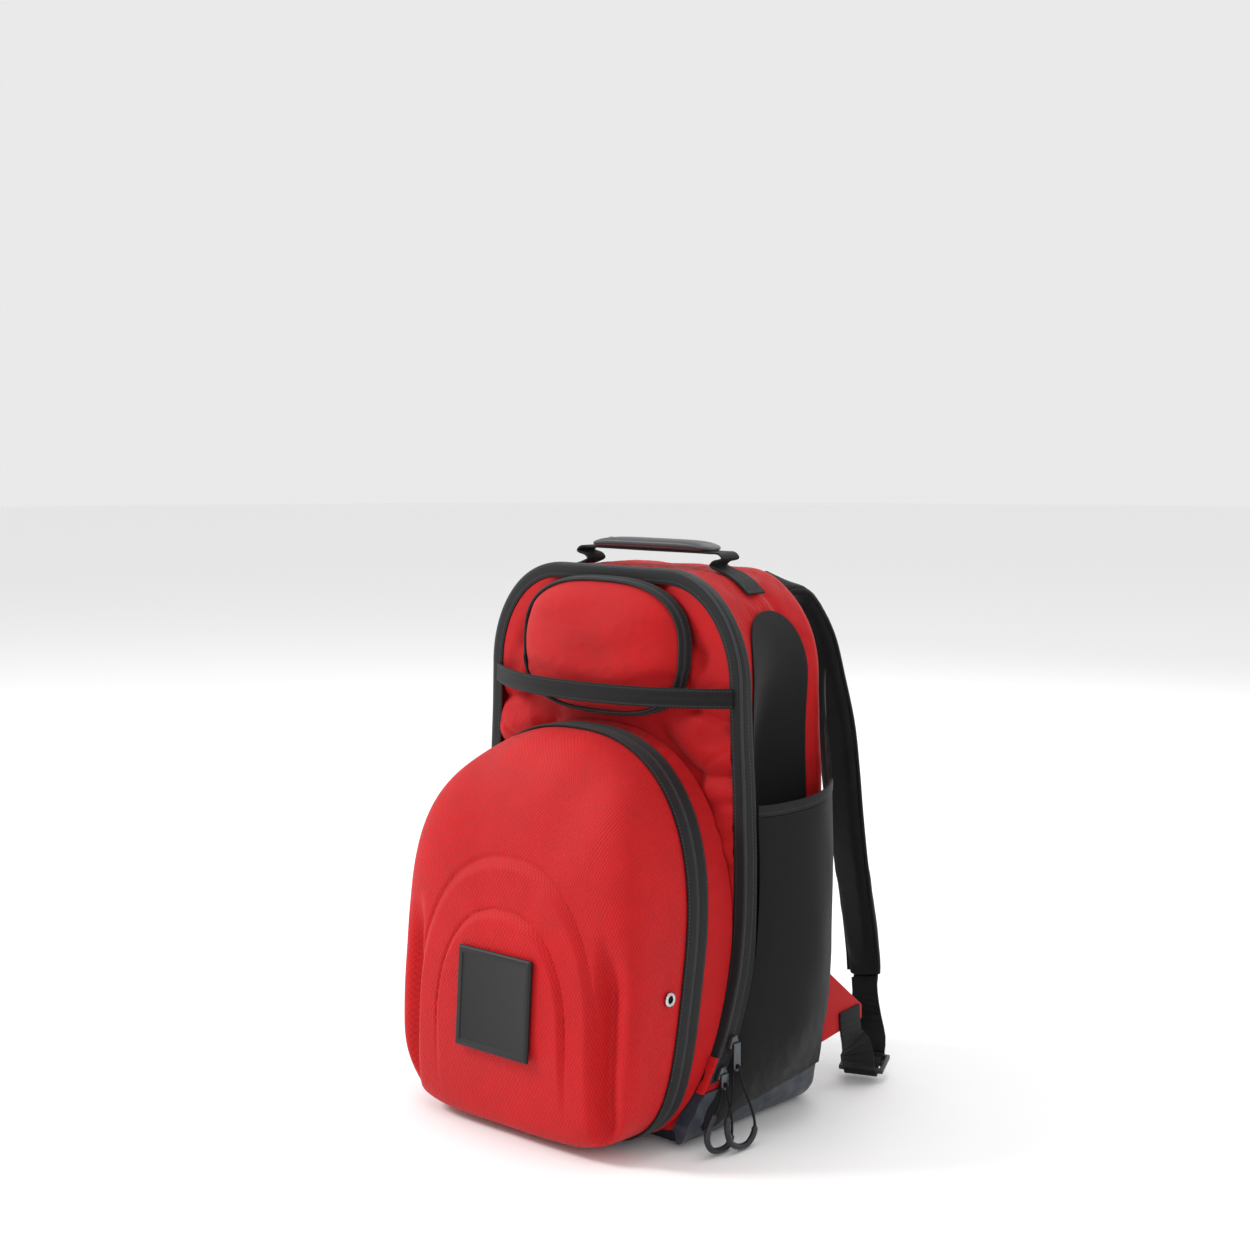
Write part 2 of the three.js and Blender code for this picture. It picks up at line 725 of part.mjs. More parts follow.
// Sleeve that holds a bat against the side
const sleeveColumns = 12;
const bindingColumns = 10;
const bindingEnd = bindingColumns / sleeveColumns;
const mouthHeight = (u) => lerp(sleeveMouthFront, sleeveMouthRear, u)
  + sleeveRearRise * smoothstep(u, bindingEnd, 1);
const bottomHeight = (u) => lerp(sleeveBottomFront, sleeveBottomRear, u ** 0.8);

function sleevePoint(sign, u, z, lift) {
  const from = frontLine(z) + zipSideWidth(z) + 2.5;
  const y = lerp(from, backDepth - backRadius * 0.35, u);
  const up = clamp((z - bottomHeight(u)) / (sleeveMouthFront - bottomHeight(u)), 0, 1);
  const fill = Math.sin(Math.min(1, up * 3.2) * Math.PI * 0.5) ** 0.8;
  const belly = Math.sin(Math.PI * clamp(u, 0, 1)) ** 0.85;
  const above = 1 - smoothstep(z, sleeveMouthRear, sleeveMouthRear + sleeveRearRise);
  const skin = halfWidthAt(z) + fit + bootThickness + 2 * fit + lift;
  const tuck = backRadius * 0.12 * smoothstep(u, 0.9, 1);
  return vec(sign * (skin - tuck + sleeveReach * belly * fill * above), y, z);
}

for (const [side, sign] of [['right', 1], ['left', -1]]) {
  const sleeve = (u, v) => sleevePoint(sign, u, lerp(bottomHeight(u), mouthHeight(u) - bindingHeight, v), 0);
  piece(`bat_sleeve_${side}`, sheet((u, v) => sleeve(sign > 0 ? u : 1 - u, v), sleeveColumns, 8, sleeveThickness), 'stretch');
  const mouth = (u, v) => {
    const share = u * bindingEnd * 0.985;
    const top = lerp(sleeveMouthFront, sleeveMouthRear, share);
    const z = lerp(top - bindingHeight + 2 * fit, top, v);
    return sleevePoint(sign, share, z, (sleeveThickness - bindingThickness) / 2);
  };
  piece(`sleeve_binding_${side}`, sheet((u, v) => mouth(sign > 0 ? u : 1 - u, v), bindingColumns, 1, bindingThickness), 'webbing');
}

// Black rub panel in each bat channel
const rubSkin = bodySolid(even(fit + rubThickness), even(0)).subtract(bodySolid(even(fit), even(0)));
const rubShape = new THREE.Shape();
const rubFront = zipSideWidthFoot - frontDepth + 1.5;
const rubRear = 40;
const rubTop = 468;
const rubFoot = 66;
rubShape.moveTo(rubFront, rubFoot);
rubShape.lineTo(rubRear, rubFoot);
rubShape.lineTo(rubRear, rubTop * 0.85);
rubShape.quadraticCurveTo(rubRear, rubTop, (rubFront + rubRear) / 2, rubTop);
rubShape.quadraticCurveTo(rubFront, rubTop, rubFront, rubTop * 0.88);
for (const [side, sign] of [['right', 1], ['left', -1]]) {
  const block = new THREE.ExtrudeGeometry(rubShape, { depth: reach, bevelEnabled: false, curveSegments: 5 });
  block.applyMatrix4(new THREE.Matrix4().makeBasis(yAxis, zAxis, vec(1, 0, 0)));
  block.translate(sign > 0 ? 60 : -60 - reach, 0, 0);
  piece(`bat_channel_${side}`, fromSolid(rubSkin.intersect(toSolid(block))), 'stretch');
}

// Grab handle: webbing that stands up from the shoulders with a padded grip on it
const topAt = (x) => {
  const past = clamp((Math.abs(x) - (halfWidthAt(bodyHeight) - shoulderWidth)) / shoulderWidth, 0, 1);
  return bodyHeight - shoulderHeight * (1 - Math.sqrt(1 - past * past));
};
const webUnder = handleHeight - gripThickness - fit - handleWebThickness / 2;
const webLift = handleWebThickness / 2 + fit + 0.4;
const handleSide = [
  vec(handleTail, 0, topAt(handleTail) + webLift),
  vec(lerp(handleFoot, handleTail, 0.72), 0, topAt(lerp(handleFoot, handleTail, 0.72)) + webLift),
  vec(lerp(handleFoot, handleTail, 0.42), 0, topAt(lerp(handleFoot, handleTail, 0.42)) + webLift),
  vec(lerp(handleFoot, handleTail, 0.16), 0, topAt(lerp(handleFoot, handleTail, 0.16)) + webLift),
  vec(handleFoot, 0, topAt(handleFoot) + webLift + 2.4),
  vec(handleFoot + 3.5, 0, topAt(handleFoot) + webLift + 6),
  vec(handleReach - 3, 0, lerp(topAt(handleFoot), webUnder, 0.62)),
  vec(handleReach, 0, webUnder - 4.5),
  vec(handleReach - 4, 0, webUnder - 0.6),
  vec(gripLength / 2, 0, webUnder),
];
const handlePoints = [
  ...handleSide.map((p) => vec(-p.x, p.y, p.z)),
  vec(0, 0, webUnder),
  ...handleSide.slice().reverse(),
];
const handleCurve = new THREE.CatmullRomCurve3(handlePoints, false, 'centripetal');
handleCurve.arcLengthDivisions = 1200;
piece('handle_webbing', strip(ribbonStations(handleCurve, 50, yAxis, handleWebWidth, handleWebThickness)), 'webbing');

const gripStations = [];
for (let k = 0; k <= 12; k += 1) {
  const share = -1 + k / 6;
  const swell = 0.55 + 0.45 * Math.sqrt(Math.max(0, 1 - share ** 4));
  const thickness = gripThickness * swell;
  gripStations.push({
    centre: vec((share * gripLength) / 2, 0, handleHeight - gripThickness + thickness / 2),
    across: yAxis,
    out: zAxis,
    width: gripWidth * (0.8 + 0.2 * swell),
    thickness,
  });
}
piece('handle_grip', strip(gripStations, 0.4), 'grip');

// Padding on the back, with a shallow channel down its middle
const padOutline = bodyOutline(even(-backPadInset));
const padLoop = (share, depth) => padOutline.map((p) => {
  const x = p.x * share;
  const z = panelCentre + (p.z - panelCentre) * share;
  const valley = 1 - 0.35 * Math.exp(-((x / (0.2 * bodyHalfWidth)) ** 2));
  return vec(x, backDepth + 2 * fit + depth * backPadThickness * valley, z);
});
const padSolid = toSolid(loft([
  padLoop(0.5, 0), padLoop(1, 0), padLoop(1, 0.45), padLoop(0.97, 0.85), padLoop(0.9, 1), padLoop(0.6, 1),
  padLoop(0.25, 1),
]));
const padRegion = boxSolid(vec(-reach, -reach, bootHeight + fit), vec(reach, reach, backPadTop));
piece('back_pad', fromSolid(padSolid.intersect(padRegion)), 'mesh');

// Shoulder strap: rows of its middle line with the turn of its width about the vertical, in degrees.
const strapRows = [
  { x: 68, y: 70.2, z: 465, turn: 0, dip: 0, width: 0.84, thickness: 0.6 },
  { x: 71, y: 75.5, z: 477, turn: 0, dip: 14, width: 0.87, thickness: 0.8 },
  { x: 76, y: 86, z: 484, turn: 0, dip: 17, width: 0.92, thickness: 0.95 },
  { x: 82, y: 99, z: 479, turn: 0, dip: 14, width: 0.97, thickness: 1 },
  { x: 88, y: 112, z: 461, turn: -2, dip: 8, width: 1, thickness: 1 },
  { x: 93, y: 125, z: 436, turn: -5, dip: 4, width: 1, thickness: 1 },
  { x: 98, y: 137, z: 394, turn: -8, dip: 2, width: 1, thickness: 1 },
  { x: 103, y: 148, z: 348, turn: -11, dip: 0, width: 1, thickness: 1 },
  { x: 106, y: 154, z: 303, turn: -13, dip: 0, width: 1, thickness: 1 },
  { x: 108, y: 159, z: 260, turn: -15, dip: 0, width: 1, thickness: 1 },
  { x: 110, y: 167, z: 214, turn: -19, dip: 0, width: 1, thickness: 1 },
  { x: 113, y: 172, z: 178, turn: -20, dip: 0, width: 0.98, thickness: 1 },
  { x: 117, y: 175, z: 142, turn: -18, dip: 0, width: 0.93, thickness: 0.95 },
  { x: 122, y: 174, z: 112, turn: -14, dip: 0, width: 0.84, thickness: 0.8 },
  { x: 126, y: 171, z: 92, turn: -6, dip: 0, width: 0.72, thickness: 0.55 },
];

for (const [side, sign] of [['right', 1], ['left', -1]]) {
  const centres = strapRows.map((row) => vec(sign * row.x, row.y, row.z));
  const curve = new THREE.CatmullRomCurve3(centres);
  const stations = [];
  const steps = 2 * (strapRows.length - 1);
  for (let k = 0; k <= steps; k += 1) {
    const t = k / steps;
    const place = t * (strapRows.length - 1);
    const row = Math.min(Math.floor(place), strapRows.length - 2);
    const share = place - row;
    const value = (key) => lerp(strapRows[row][key], strapRows[row + 1][key], share);
    const turn = THREE.MathUtils.degToRad(value('turn'));
    const dip = THREE.MathUtils.degToRad(value('dip'));
    const across = vec(sign * Math.cos(turn) * Math.cos(dip), Math.sin(turn) * Math.cos(dip), -Math.sin(dip));
    const along = curve.getTangent(t);
    across.addScaledVector(along, -across.dot(along)).normalize();
    stations.push({
      centre: curve.getPoint(t),
      across,
      out: along.clone().cross(across).normalize(),
      width: strapWidth * value('width'),
      thickness: strapThickness * value('thickness'),
    });
  }
  piece(`shoulder_strap_${side}`, strip(stations, 0.42), 'mesh');
}

// Stations along a path of places, each with its own width direction.
function lacedStations(places, steps, width, thickness) {
  const middle = new THREE.CatmullRomCurve3(places.map((place) => place.at), false, 'centripetal');
  const stations = [];
  for (let k = 0; k <= steps; k += 1) {
    const t = k / steps;
    const row = Math.min(Math.floor(t * (places.length - 1)), places.length - 2);
    const share = t * (places.length - 1) - row;
    const along = middle.getTangent(t);
    const across = places[row].across.clone().lerp(places[row + 1].across, share);
    across.addScaledVector(along, -across.dot(along)).normalize();
    const out = along.clone().cross(across).normalize();
    stations.push({ centre: middle.getPoint(t), across, out, width, thickness });
  }
  return stations;
}

// Ladder lock: a plate with two windows, lying near the floor behind each corner of the bag
const lockShape = new THREE.Shape();
lockShape.moveTo(-lockWidth / 2, -lockHeight / 2);
lockShape.lineTo(lockWidth / 2, -lockHeight / 2);
lockShape.lineTo(lockWidth / 2, lockHeight / 2);
lockShape.lineTo(-lockWidth / 2, lockHeight / 2);
const windowHalf = lockWidth / 2 - lockRail;
const windowHeight = (lockHeight - 3 * lockRail) / 2;
for (const low of [lockRail / 2, -lockRail / 2 - windowHeight]) {
  const hole = new THREE.Path();
  hole.moveTo(-windowHalf, low);
  hole.lineTo(-windowHalf, low + windowHeight);
  hole.lineTo(windowHalf, low + windowHeight);
  hole.lineTo(windowHalf, low);
  lockShape.holes.push(hole);
}
const lockCentre = vec(146, 145, 15);
const lockTurn = THREE.MathUtils.degToRad(20);
const lockSlope = THREE.MathUtils.degToRad(14);
const railOut = Math.hypot(lockThickness, lockRail) / 2 + strapWebThickness / 2 + 2 * fit;
const railAt = lockHeight / 2 - lockRail / 2;

const anchorPlace = 150;
const [priorRow, lastRow] = strapRows.slice(-2);

for (const [side, sign] of [['right', 1], ['left', -1]]) {
  const mirrored = (x, y, z) => vec(sign * x, y, z);
  const widthWay = mirrored(Math.cos(lockTurn), Math.sin(lockTurn), 0);
  const rearWay = mirrored(
    -Math.sin(lockTurn) * Math.cos(lockSlope),
    Math.cos(lockTurn) * Math.cos(lockSlope),
    Math.sin(lockSlope),
  );
  const upWay = widthWay.clone().cross(rearWay).multiplyScalar(sign).normalize();
  const centre = mirrored(lockCentre.x, lockCentre.y, lockCentre.z);
  const lockPlace = new THREE.Matrix4().makeBasis(widthWay, rearWay, widthWay.clone().cross(rearWay));
  lockPlace.setPosition(centre);
  const plate = new THREE.ExtrudeGeometry(lockShape, { depth: lockThickness, bevelEnabled: false });
  plate.translate(0, 0, -lockThickness / 2);
  piece(`ladder_lock_${side}`, plate, 'plastic', lockPlace);

  const inLock = (rear, up) => ({
    at: centre.clone().addScaledVector(rearWay, rear).addScaledVector(upWay, up),
    across: widthWay,
  });
  const roundRail = (rail, degrees) => {
    const angle = THREE.MathUtils.degToRad(degrees);
    return inLock(rail + railOut * Math.cos(angle), railOut * Math.sin(angle));
  };
  const padWay = mirrored(1, -0.1, 0);
  const padFoot = mirrored(lastRow.x, lastRow.y, lastRow.z);
  const padDown = padFoot.clone().sub(mirrored(priorRow.x, priorRow.y, priorRow.z)).normalize();
  const padEnd = [
    { at: padFoot.clone().addScaledVector(padDown, 0.8), across: padWay },
    { at: padFoot.clone().addScaledVector(padDown, 18), across: padWay },
    { at: mirrored(lastRow.x + 5, lastRow.y - 2, lastRow.z - 44), across: widthWay },
    inLock(railAt + 2 * railOut, 2.4 * railOut),
    ...[30, -20, -70, -120, -170, -220, -255].map((angle) => roundRail(railAt, angle)),
  ];
  piece(`pad_webbing_${side}`, strip(lacedStations(padEnd, 24, strapWebWidth, strapWebThickness)), 'webbing');

  const anchorWay = mirrored(0, 1, -0.1);
  const anchorFace = anchorPlace + anchorThickness / 2 + fit + strapWebThickness / 2;
  const anchorEnd = [
    { at: mirrored(anchorFace, backDepth + anchorReach * 0.66, anchorTipHeight + 8), across: anchorWay },
    { at: mirrored(anchorFace, backDepth + anchorReach * 0.68, anchorTipHeight - 8), across: anchorWay },
    { at: mirrored(anchorFace + 0.6, backDepth + anchorReach * 0.72, anchorTipHeight - 22), across: anchorWay },
    { at: mirrored(anchorFace + 2, backDepth + anchorReach * 0.8, anchorTipHeight - 34), across: mirrored(0.6, 0.8, 0) },
    inLock(-railAt - 2 * railOut, 2.4 * railOut),
    ...[150, 200, 250, 300, 350].map((angle) => roundRail(-railAt, angle)),
    inLock(0, railOut),
    inLock(2.5, railOut + 0.2),
  ];
  piece(`anchor_webbing_${side}`, strip(lacedStations(anchorEnd, 24, strapWebWidth, strapWebThickness)), 'webbing');

  const anchorShape = new THREE.Shape();
  const seamLine = backDepth + fit + bootThickness + fit;
  anchorShape.moveTo(seamLine, anchorBottom);
  anchorShape.lineTo(backDepth + anchorReach, anchorTipHeight - 7);
  anchorShape.lineTo(backDepth + anchorReach, anchorTipHeight + 7);
  anchorShape.lineTo(seamLine, anchorTop);
  const wing = new THREE.ExtrudeGeometry(anchorShape, { depth: anchorThickness, bevelEnabled: false });
  wing.applyMatrix4(new THREE.Matrix4().makeBasis(yAxis, zAxis, vec(1, 0, 0)));
  wing.translate(sign * anchorPlace - anchorThickness / 2, 0, 0);
  piece(`strap_anchor_${side}`, wing, 'fabric');
}

// Tube round a curve, hollow where a bore is given.
function tube(curve, diameter, steps, sides, bore = 0) {
  const frames = curve.computeFrenetFrames(steps, false);
  const ringAt = (k, radius) => {
    const centre = curve.getPointAt(k / steps);
    const ring = [];
    for (let side = 0; side < sides; side += 1) {
      const angle = (2 * Math.PI * side) / sides;
      ring.push(centre.clone()
        .addScaledVector(frames.normals[k], radius * Math.cos(angle))
        .addScaledVector(frames.binormals[k], radius * Math.sin(angle)));
    }
    return ring;
  };
  const rows = [...Array(steps + 1).keys()];
  const outer = rows.map((k) => ringAt(k, diameter / 2));
  if (!bore) return loft(outer);
  return loft([...outer, ...rows.reverse().map((k) => ringAt(k, bore / 2))], true);
}

// Two sliders near the right end of the main zip; the upper one carries a hanging tab.
const zipSkinAt = (z) => halfWidthAt(z) + fit + tapeThickness + fit;

function sliderBody(z) {
  const lean = Math.atan2(frontLine(z + 5) - frontLine(z - 5), 10);
  const body = new THREE.Shape();
  body.moveTo(-sliderWidth / 2, -sliderLength / 2);
  body.lineTo(sliderWidth / 2, -sliderLength / 2);
  body.lineTo(sliderWidth / 2, sliderLength / 5);
  body.lineTo(0, sliderLength / 2);
  body.lineTo(-sliderWidth / 2, sliderLength / 5);
  const geometry = new THREE.ExtrudeGeometry(body, { depth: sliderThickness, bevelEnabled: false });
  geometry.rotateZ(-lean);
  geometry.applyMatrix4(new THREE.Matrix4().makeBasis(yAxis, zAxis, vec(1, 0, 0)));
  geometry.translate(zipSkinAt(z) + fit / 2, frontLine(z) + sliderWidth * 0.75, z);
  return geometry;
}

piece('zip_slider_upper', sliderBody(upperSliderHeight), 'metal');
piece('zip_slider_lower', sliderBody(lowerSliderHeight), 'metal');

function pullTab(length, y, top, x) {
  const outline = new THREE.Shape();
  outline.moveTo(-tabWidth / 2, 0);
  outline.lineTo(-tabWidth / 2, -length + tabWidth / 2);
  outline.absarc(0, -length + tabWidth / 2, tabWidth / 2, Math.PI, 2 * Math.PI, false);
  outline.lineTo(tabWidth / 2, 0);
  const hole = new THREE.Path();
  hole.absarc(0, -length + tabWidth / 2, pullCordDiameter, 0, 2 * Math.PI, true);
  outline.holes.push(hole);
  const geometry = new THREE.ExtrudeGeometry(outline, {
    depth: tabThickness, bevelEnabled: false, curveSegments: 6,
  });
  geometry.applyMatrix4(new THREE.Matrix4().makeBasis(yAxis, zAxis, vec(1, 0, 0)));
  geometry.translate(x, y, top);
  return geometry;
}

const tabs = [
  {
    name: 'upper', length: tabLength, y: frontLine(upperSliderHeight) + sliderWidth * 0.75, top: upperSliderHeight,
    x: zipSkinAt(upperSliderHeight) + 2 * fit + sliderThickness,
  },
  {
    name: 'lower', length: tabLength * 0.55, y: frontLine(lowerSliderHeight) + sliderWidth * 0.6,
    top: lowerSliderHeight, x: zipSkinAt(lowerSliderHeight) + 2 * fit + sliderThickness,
  },
];
for (const tab of tabs) {
  piece(`pull_tab_${tab.name}`, pullTab(tab.length, tab.y, tab.top, tab.x), 'metal');
}

// Cord loops on the two tabs: places of their route below the hole, chosen by hand, in order from the hole.
const cordRoutes = {
  lower: [
    [161.3, -95.3, 51.5], [166, -103, 43], [172, -120, 34], [174, -129, 26], [174, -130, 16], [174, -124, 7.5],
    [174, -113, 4.2], [174, -102, 5.5], [174, -97, 12], [174, -96, 22], [172, -96, 36], [167.8, -95.2, 50.5],
  ],
  upper: [
    [164, -82.2, 65], [167.5, -87, 57], [176, -98, 46], [181, -110, 35], [182.5, -113, 24],
    [182.5, -108, 11.5], [182.5, -96, 4.8], [182.5, -84, 4.8], [182.5, -76, 11.5], [182.5, -74.5, 21],
    [179, -77, 38], [173, -80, 55], [170.9, -81.2, 64.5],
  ],
};
const gripShares = { lower: [0.24, 0.7], upper: [0.3, 0.68] };

for (const tab of tabs) {
  const hole = vec(tab.x + tabThickness / 2, tab.y, tab.top - tab.length + tabWidth / 2);
  const places = [
    hole.clone().add(vec(-fit, 0, 0)),
    hole.clone().add(vec(-3.1, 0, 0.3)),
    ...cordRoutes[tab.name].map(([x, y, z]) => vec(x, y, z)),
    hole.clone().add(vec(3.1, 0, 0.3)),
    hole.clone().add(vec(fit, 0, 0)),
  ];
  const curve = new THREE.CatmullRomCurve3(places, false, 'centripetal');
  piece(`pull_cord_${tab.name}`, tube(curve, pullCordDiameter, 38, 6), 'webbing');
  const [from, to] = gripShares[tab.name];
  const gripPlaces = [];
  for (let k = 0; k <= 14; k += 1) gripPlaces.push(curve.getPointAt(lerp(from, to, k / 14)));
  const gripCurve = new THREE.CatmullRomCurve3(gripPlaces);
  piece(`pull_grip_${tab.name}`, tube(gripCurve, pullGripDiameter, 13, 8, pullCordDiameter + 1.6), 'webbing');
}

// Folded fabric end on the front tape at each end of the main zip
for (const [side, sign] of [['right', 1], ['left', -1]]) {
  const endTab = (u, v) => {
    const z = zipEndHeight - endTabDrop + endTabLength * v;
    const x = halfWidthAt(z) + endTabOver - endTabWidth * (1 - u);
    return vec(sign * x, frontLine(z) - 6 * fit - tapeThickness, z);
  };
  const turned = (u, v) => endTab(sign > 0 ? u : 1 - u, v);
  piece(`zip_end_${side}`, sheet(turned, 2, 6, tabThickness), 'fabric');
}

export default bag;
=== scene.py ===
"""Looks of a bat backpack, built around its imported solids.

Sizes are in millimetres in the classes and become metres in the meshes. X runs to the wearer's side,
-Y to the front pockets and Z up, with the origin on the floor below the middle of the body.
"""

import logging
import math
from dataclasses import dataclass, field
from enum import Enum
from functools import cached_property
from typing import Callable, Sequence

import bpy
import numpy as np
from mathutils import Matrix, Vector

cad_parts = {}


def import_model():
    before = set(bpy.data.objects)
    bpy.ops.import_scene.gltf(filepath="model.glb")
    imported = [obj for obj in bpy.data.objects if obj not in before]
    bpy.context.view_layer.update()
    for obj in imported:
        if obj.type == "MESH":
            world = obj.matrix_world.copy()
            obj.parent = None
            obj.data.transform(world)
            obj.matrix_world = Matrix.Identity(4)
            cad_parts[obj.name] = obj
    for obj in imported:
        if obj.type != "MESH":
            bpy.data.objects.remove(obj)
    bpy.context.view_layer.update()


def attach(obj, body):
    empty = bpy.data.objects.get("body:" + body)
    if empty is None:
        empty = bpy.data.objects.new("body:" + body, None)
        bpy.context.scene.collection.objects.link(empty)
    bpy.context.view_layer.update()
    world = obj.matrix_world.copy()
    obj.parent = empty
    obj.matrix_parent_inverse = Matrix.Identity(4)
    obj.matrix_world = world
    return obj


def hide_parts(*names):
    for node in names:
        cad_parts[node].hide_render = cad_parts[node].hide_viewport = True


LOG = logging.getLogger("bat_backpack")
MM = 0.001
SIDES = {"right": 1.0, "left": -1.0}
Array = np.ndarray
Place = Callable[[Array, Array], Array]


def lerp(low: Array | float, high: Array | float, share: Array | float) -> Array | float:
    """Goes from low at share 0 to high at share 1."""
    return low + (high - low) * share


def smooth(value: Array | float, low: float, high: float) -> Array | float:
    """Rises softly from 0 at low to 1 at high."""
    share = np.clip((value - low) / (high - low), 0.0, 1.0)
    return share * share * (3.0 - 2.0 * share)


def stack(x: Array, y: Array, z: Array) -> Array:
    """Puts three lists of coordinates together as points."""
    return np.stack(np.broadcast_arrays(x, y, z), axis=-1)


def unit(vectors: Array) -> Array:
    """Scales each vector to a length of one."""
    return vectors / np.maximum(np.linalg.norm(vectors, axis=-1, keepdims=True), 1e-9)


def ripple(points: Array, pitch: float, seed: float) -> Array:
    """Gives soft uneven waves through space, the same on each run.

    Args:
        points: Places in millimetres.
        pitch: Rough distance from crest to crest.
        seed: A number that picks one set of waves.

    Returns:
        A height between about -1 and 1 for each place.
    """
    total = np.zeros(len(points))
    for k in range(5):
        turn = seed * 1.7 + k * 2.399
        way = np.array([math.cos(turn), math.sin(turn * 1.31), math.sin(turn) * 0.9])
        other = np.array([math.sin(turn * 0.7), math.cos(turn * 1.9), math.cos(turn)])
        warp = 0.9 * np.sin(points @ other * (1.9 / pitch) + k)
        total += np.sin(points @ way * (2 * math.pi * (0.7 + 0.19 * k) / pitch) + warp + seed * k)
    return total / 3.2


class Route:
    """A smooth line through chosen places."""

    def __init__(self, places: Sequence[Sequence[float]]) -> None:
        """Samples the line closely.

        Args:
            places: The places in order, in millimetres.
        """
        known = np.array(places, float)
        ends = np.vstack([2 * known[0] - known[1], known, 2 * known[-1] - known[-2]])
        samples = []
        for k in range(len(known) - 1):
            before, start, end, after = ends[k : k + 4]
            gaps = [max(np.linalg.norm(b - a), 1e-6) ** 0.5
                    for a, b in ((before, start), (start, end), (end, after))]
            first = (start - before) / gaps[0] - (end - before) / (gaps[0] + gaps[1]) + (end - start) / gaps[1]
            last = (end - start) / gaps[1] - (after - start) / (gaps[1] + gaps[2]) + (after - end) / gaps[2]
            t = np.linspace(0.0, 1.0, 24, endpoint=False)[:, None]
            samples.append(
                start * (2 * t**3 - 3 * t**2 + 1) + first * gaps[1] * (t**3 - 2 * t**2 + t)
                + end * (3 * t**2 - 2 * t**3) + last * gaps[1] * (t**3 - t**2)
            )
        self.points = np.vstack([*samples, known[-1:]])
        steps = np.linalg.norm(np.diff(self.points, axis=0), axis=1)
        self.run = np.concatenate([[0.0], np.cumsum(steps)])
        self.length = float(self.run[-1])

    def at(self, shares: Array) -> Array:
        """Gives the places at these shares of the line's length."""
        where = np.asarray(shares) * self.length
        return np.stack([np.interp(where, self.run, self.points[:, k]) for k in range(3)], axis=-1)

    def along(self, shares: Array) -> Array:
        """Gives the line's direction at these shares of its length."""
        step = 0.004
        return unit(self.at(np.clip(shares + step, 0, 1)) - self.at(np.clip(shares - step, 0, 1)))


# Shader maths


class Sock:
    """A node socket that is used in an expression."""

    def __init__(self, shader: "Shader", socket: bpy.types.NodeSocket) -> None:
        """Keeps the socket and the shader that it belongs to."""
        self.shader = shader
        self.socket = socket

    def _sum(self, operation: str, *others: "Sock | float") -> "Sock":
        """Adds one Math node that reads this socket and the others."""
        return self.shader.node("ShaderNodeMath", {"operation": operation}, dict(enumerate((self, *others))))

    def __add__(self, other: "Sock | float") -> "Sock":
        """Adds."""
        return self._sum("ADD", other)

    __radd__ = __add__

    def __mul__(self, other: "Sock | float") -> "Sock":
        """Multiplies."""
        return self._sum("MULTIPLY", other)

    __rmul__ = __mul__

    def __sub__(self, other: "Sock | float") -> "Sock":
        """Takes other away."""
        return self._sum("SUBTRACT", other)

    def __rsub__(self, other: float) -> "Sock":
        """Takes this away from a number."""
        return self.shader.node("ShaderNodeMath", {"operation": "SUBTRACT"}, {0: other, 1: self})

    def __pow__(self, power: float) -> "Sock":
        """Raises to a power."""
        return self._sum("POWER", power)

    def sin(self) -> "Sock":
        """Sine of an angle in radians."""
        return self._sum("SINE")

    def size(self) -> "Sock":
        """Value without its sign."""
        return self._sum("ABSOLUTE")

    def part(self) -> "Sock":
        """What is left after the whole number."""
        return self._sum("FRACT")

    def greater(self, other: "Sock | float") -> "Sock":
        """The greater of the two."""
        return self._sum("MAXIMUM", other)

    def rise(self, low: float, high: float) -> "Sock":
        """Rises softly from 0 at low to 1 at high, or falls where low is the greater."""
        stops = {0: self, 1: low, 2: high, 3: 0.0, 4: 1.0}
        return self.shader.node("ShaderNodeMapRange", {"interpolation_type": "SMOOTHSTEP"}, stops)


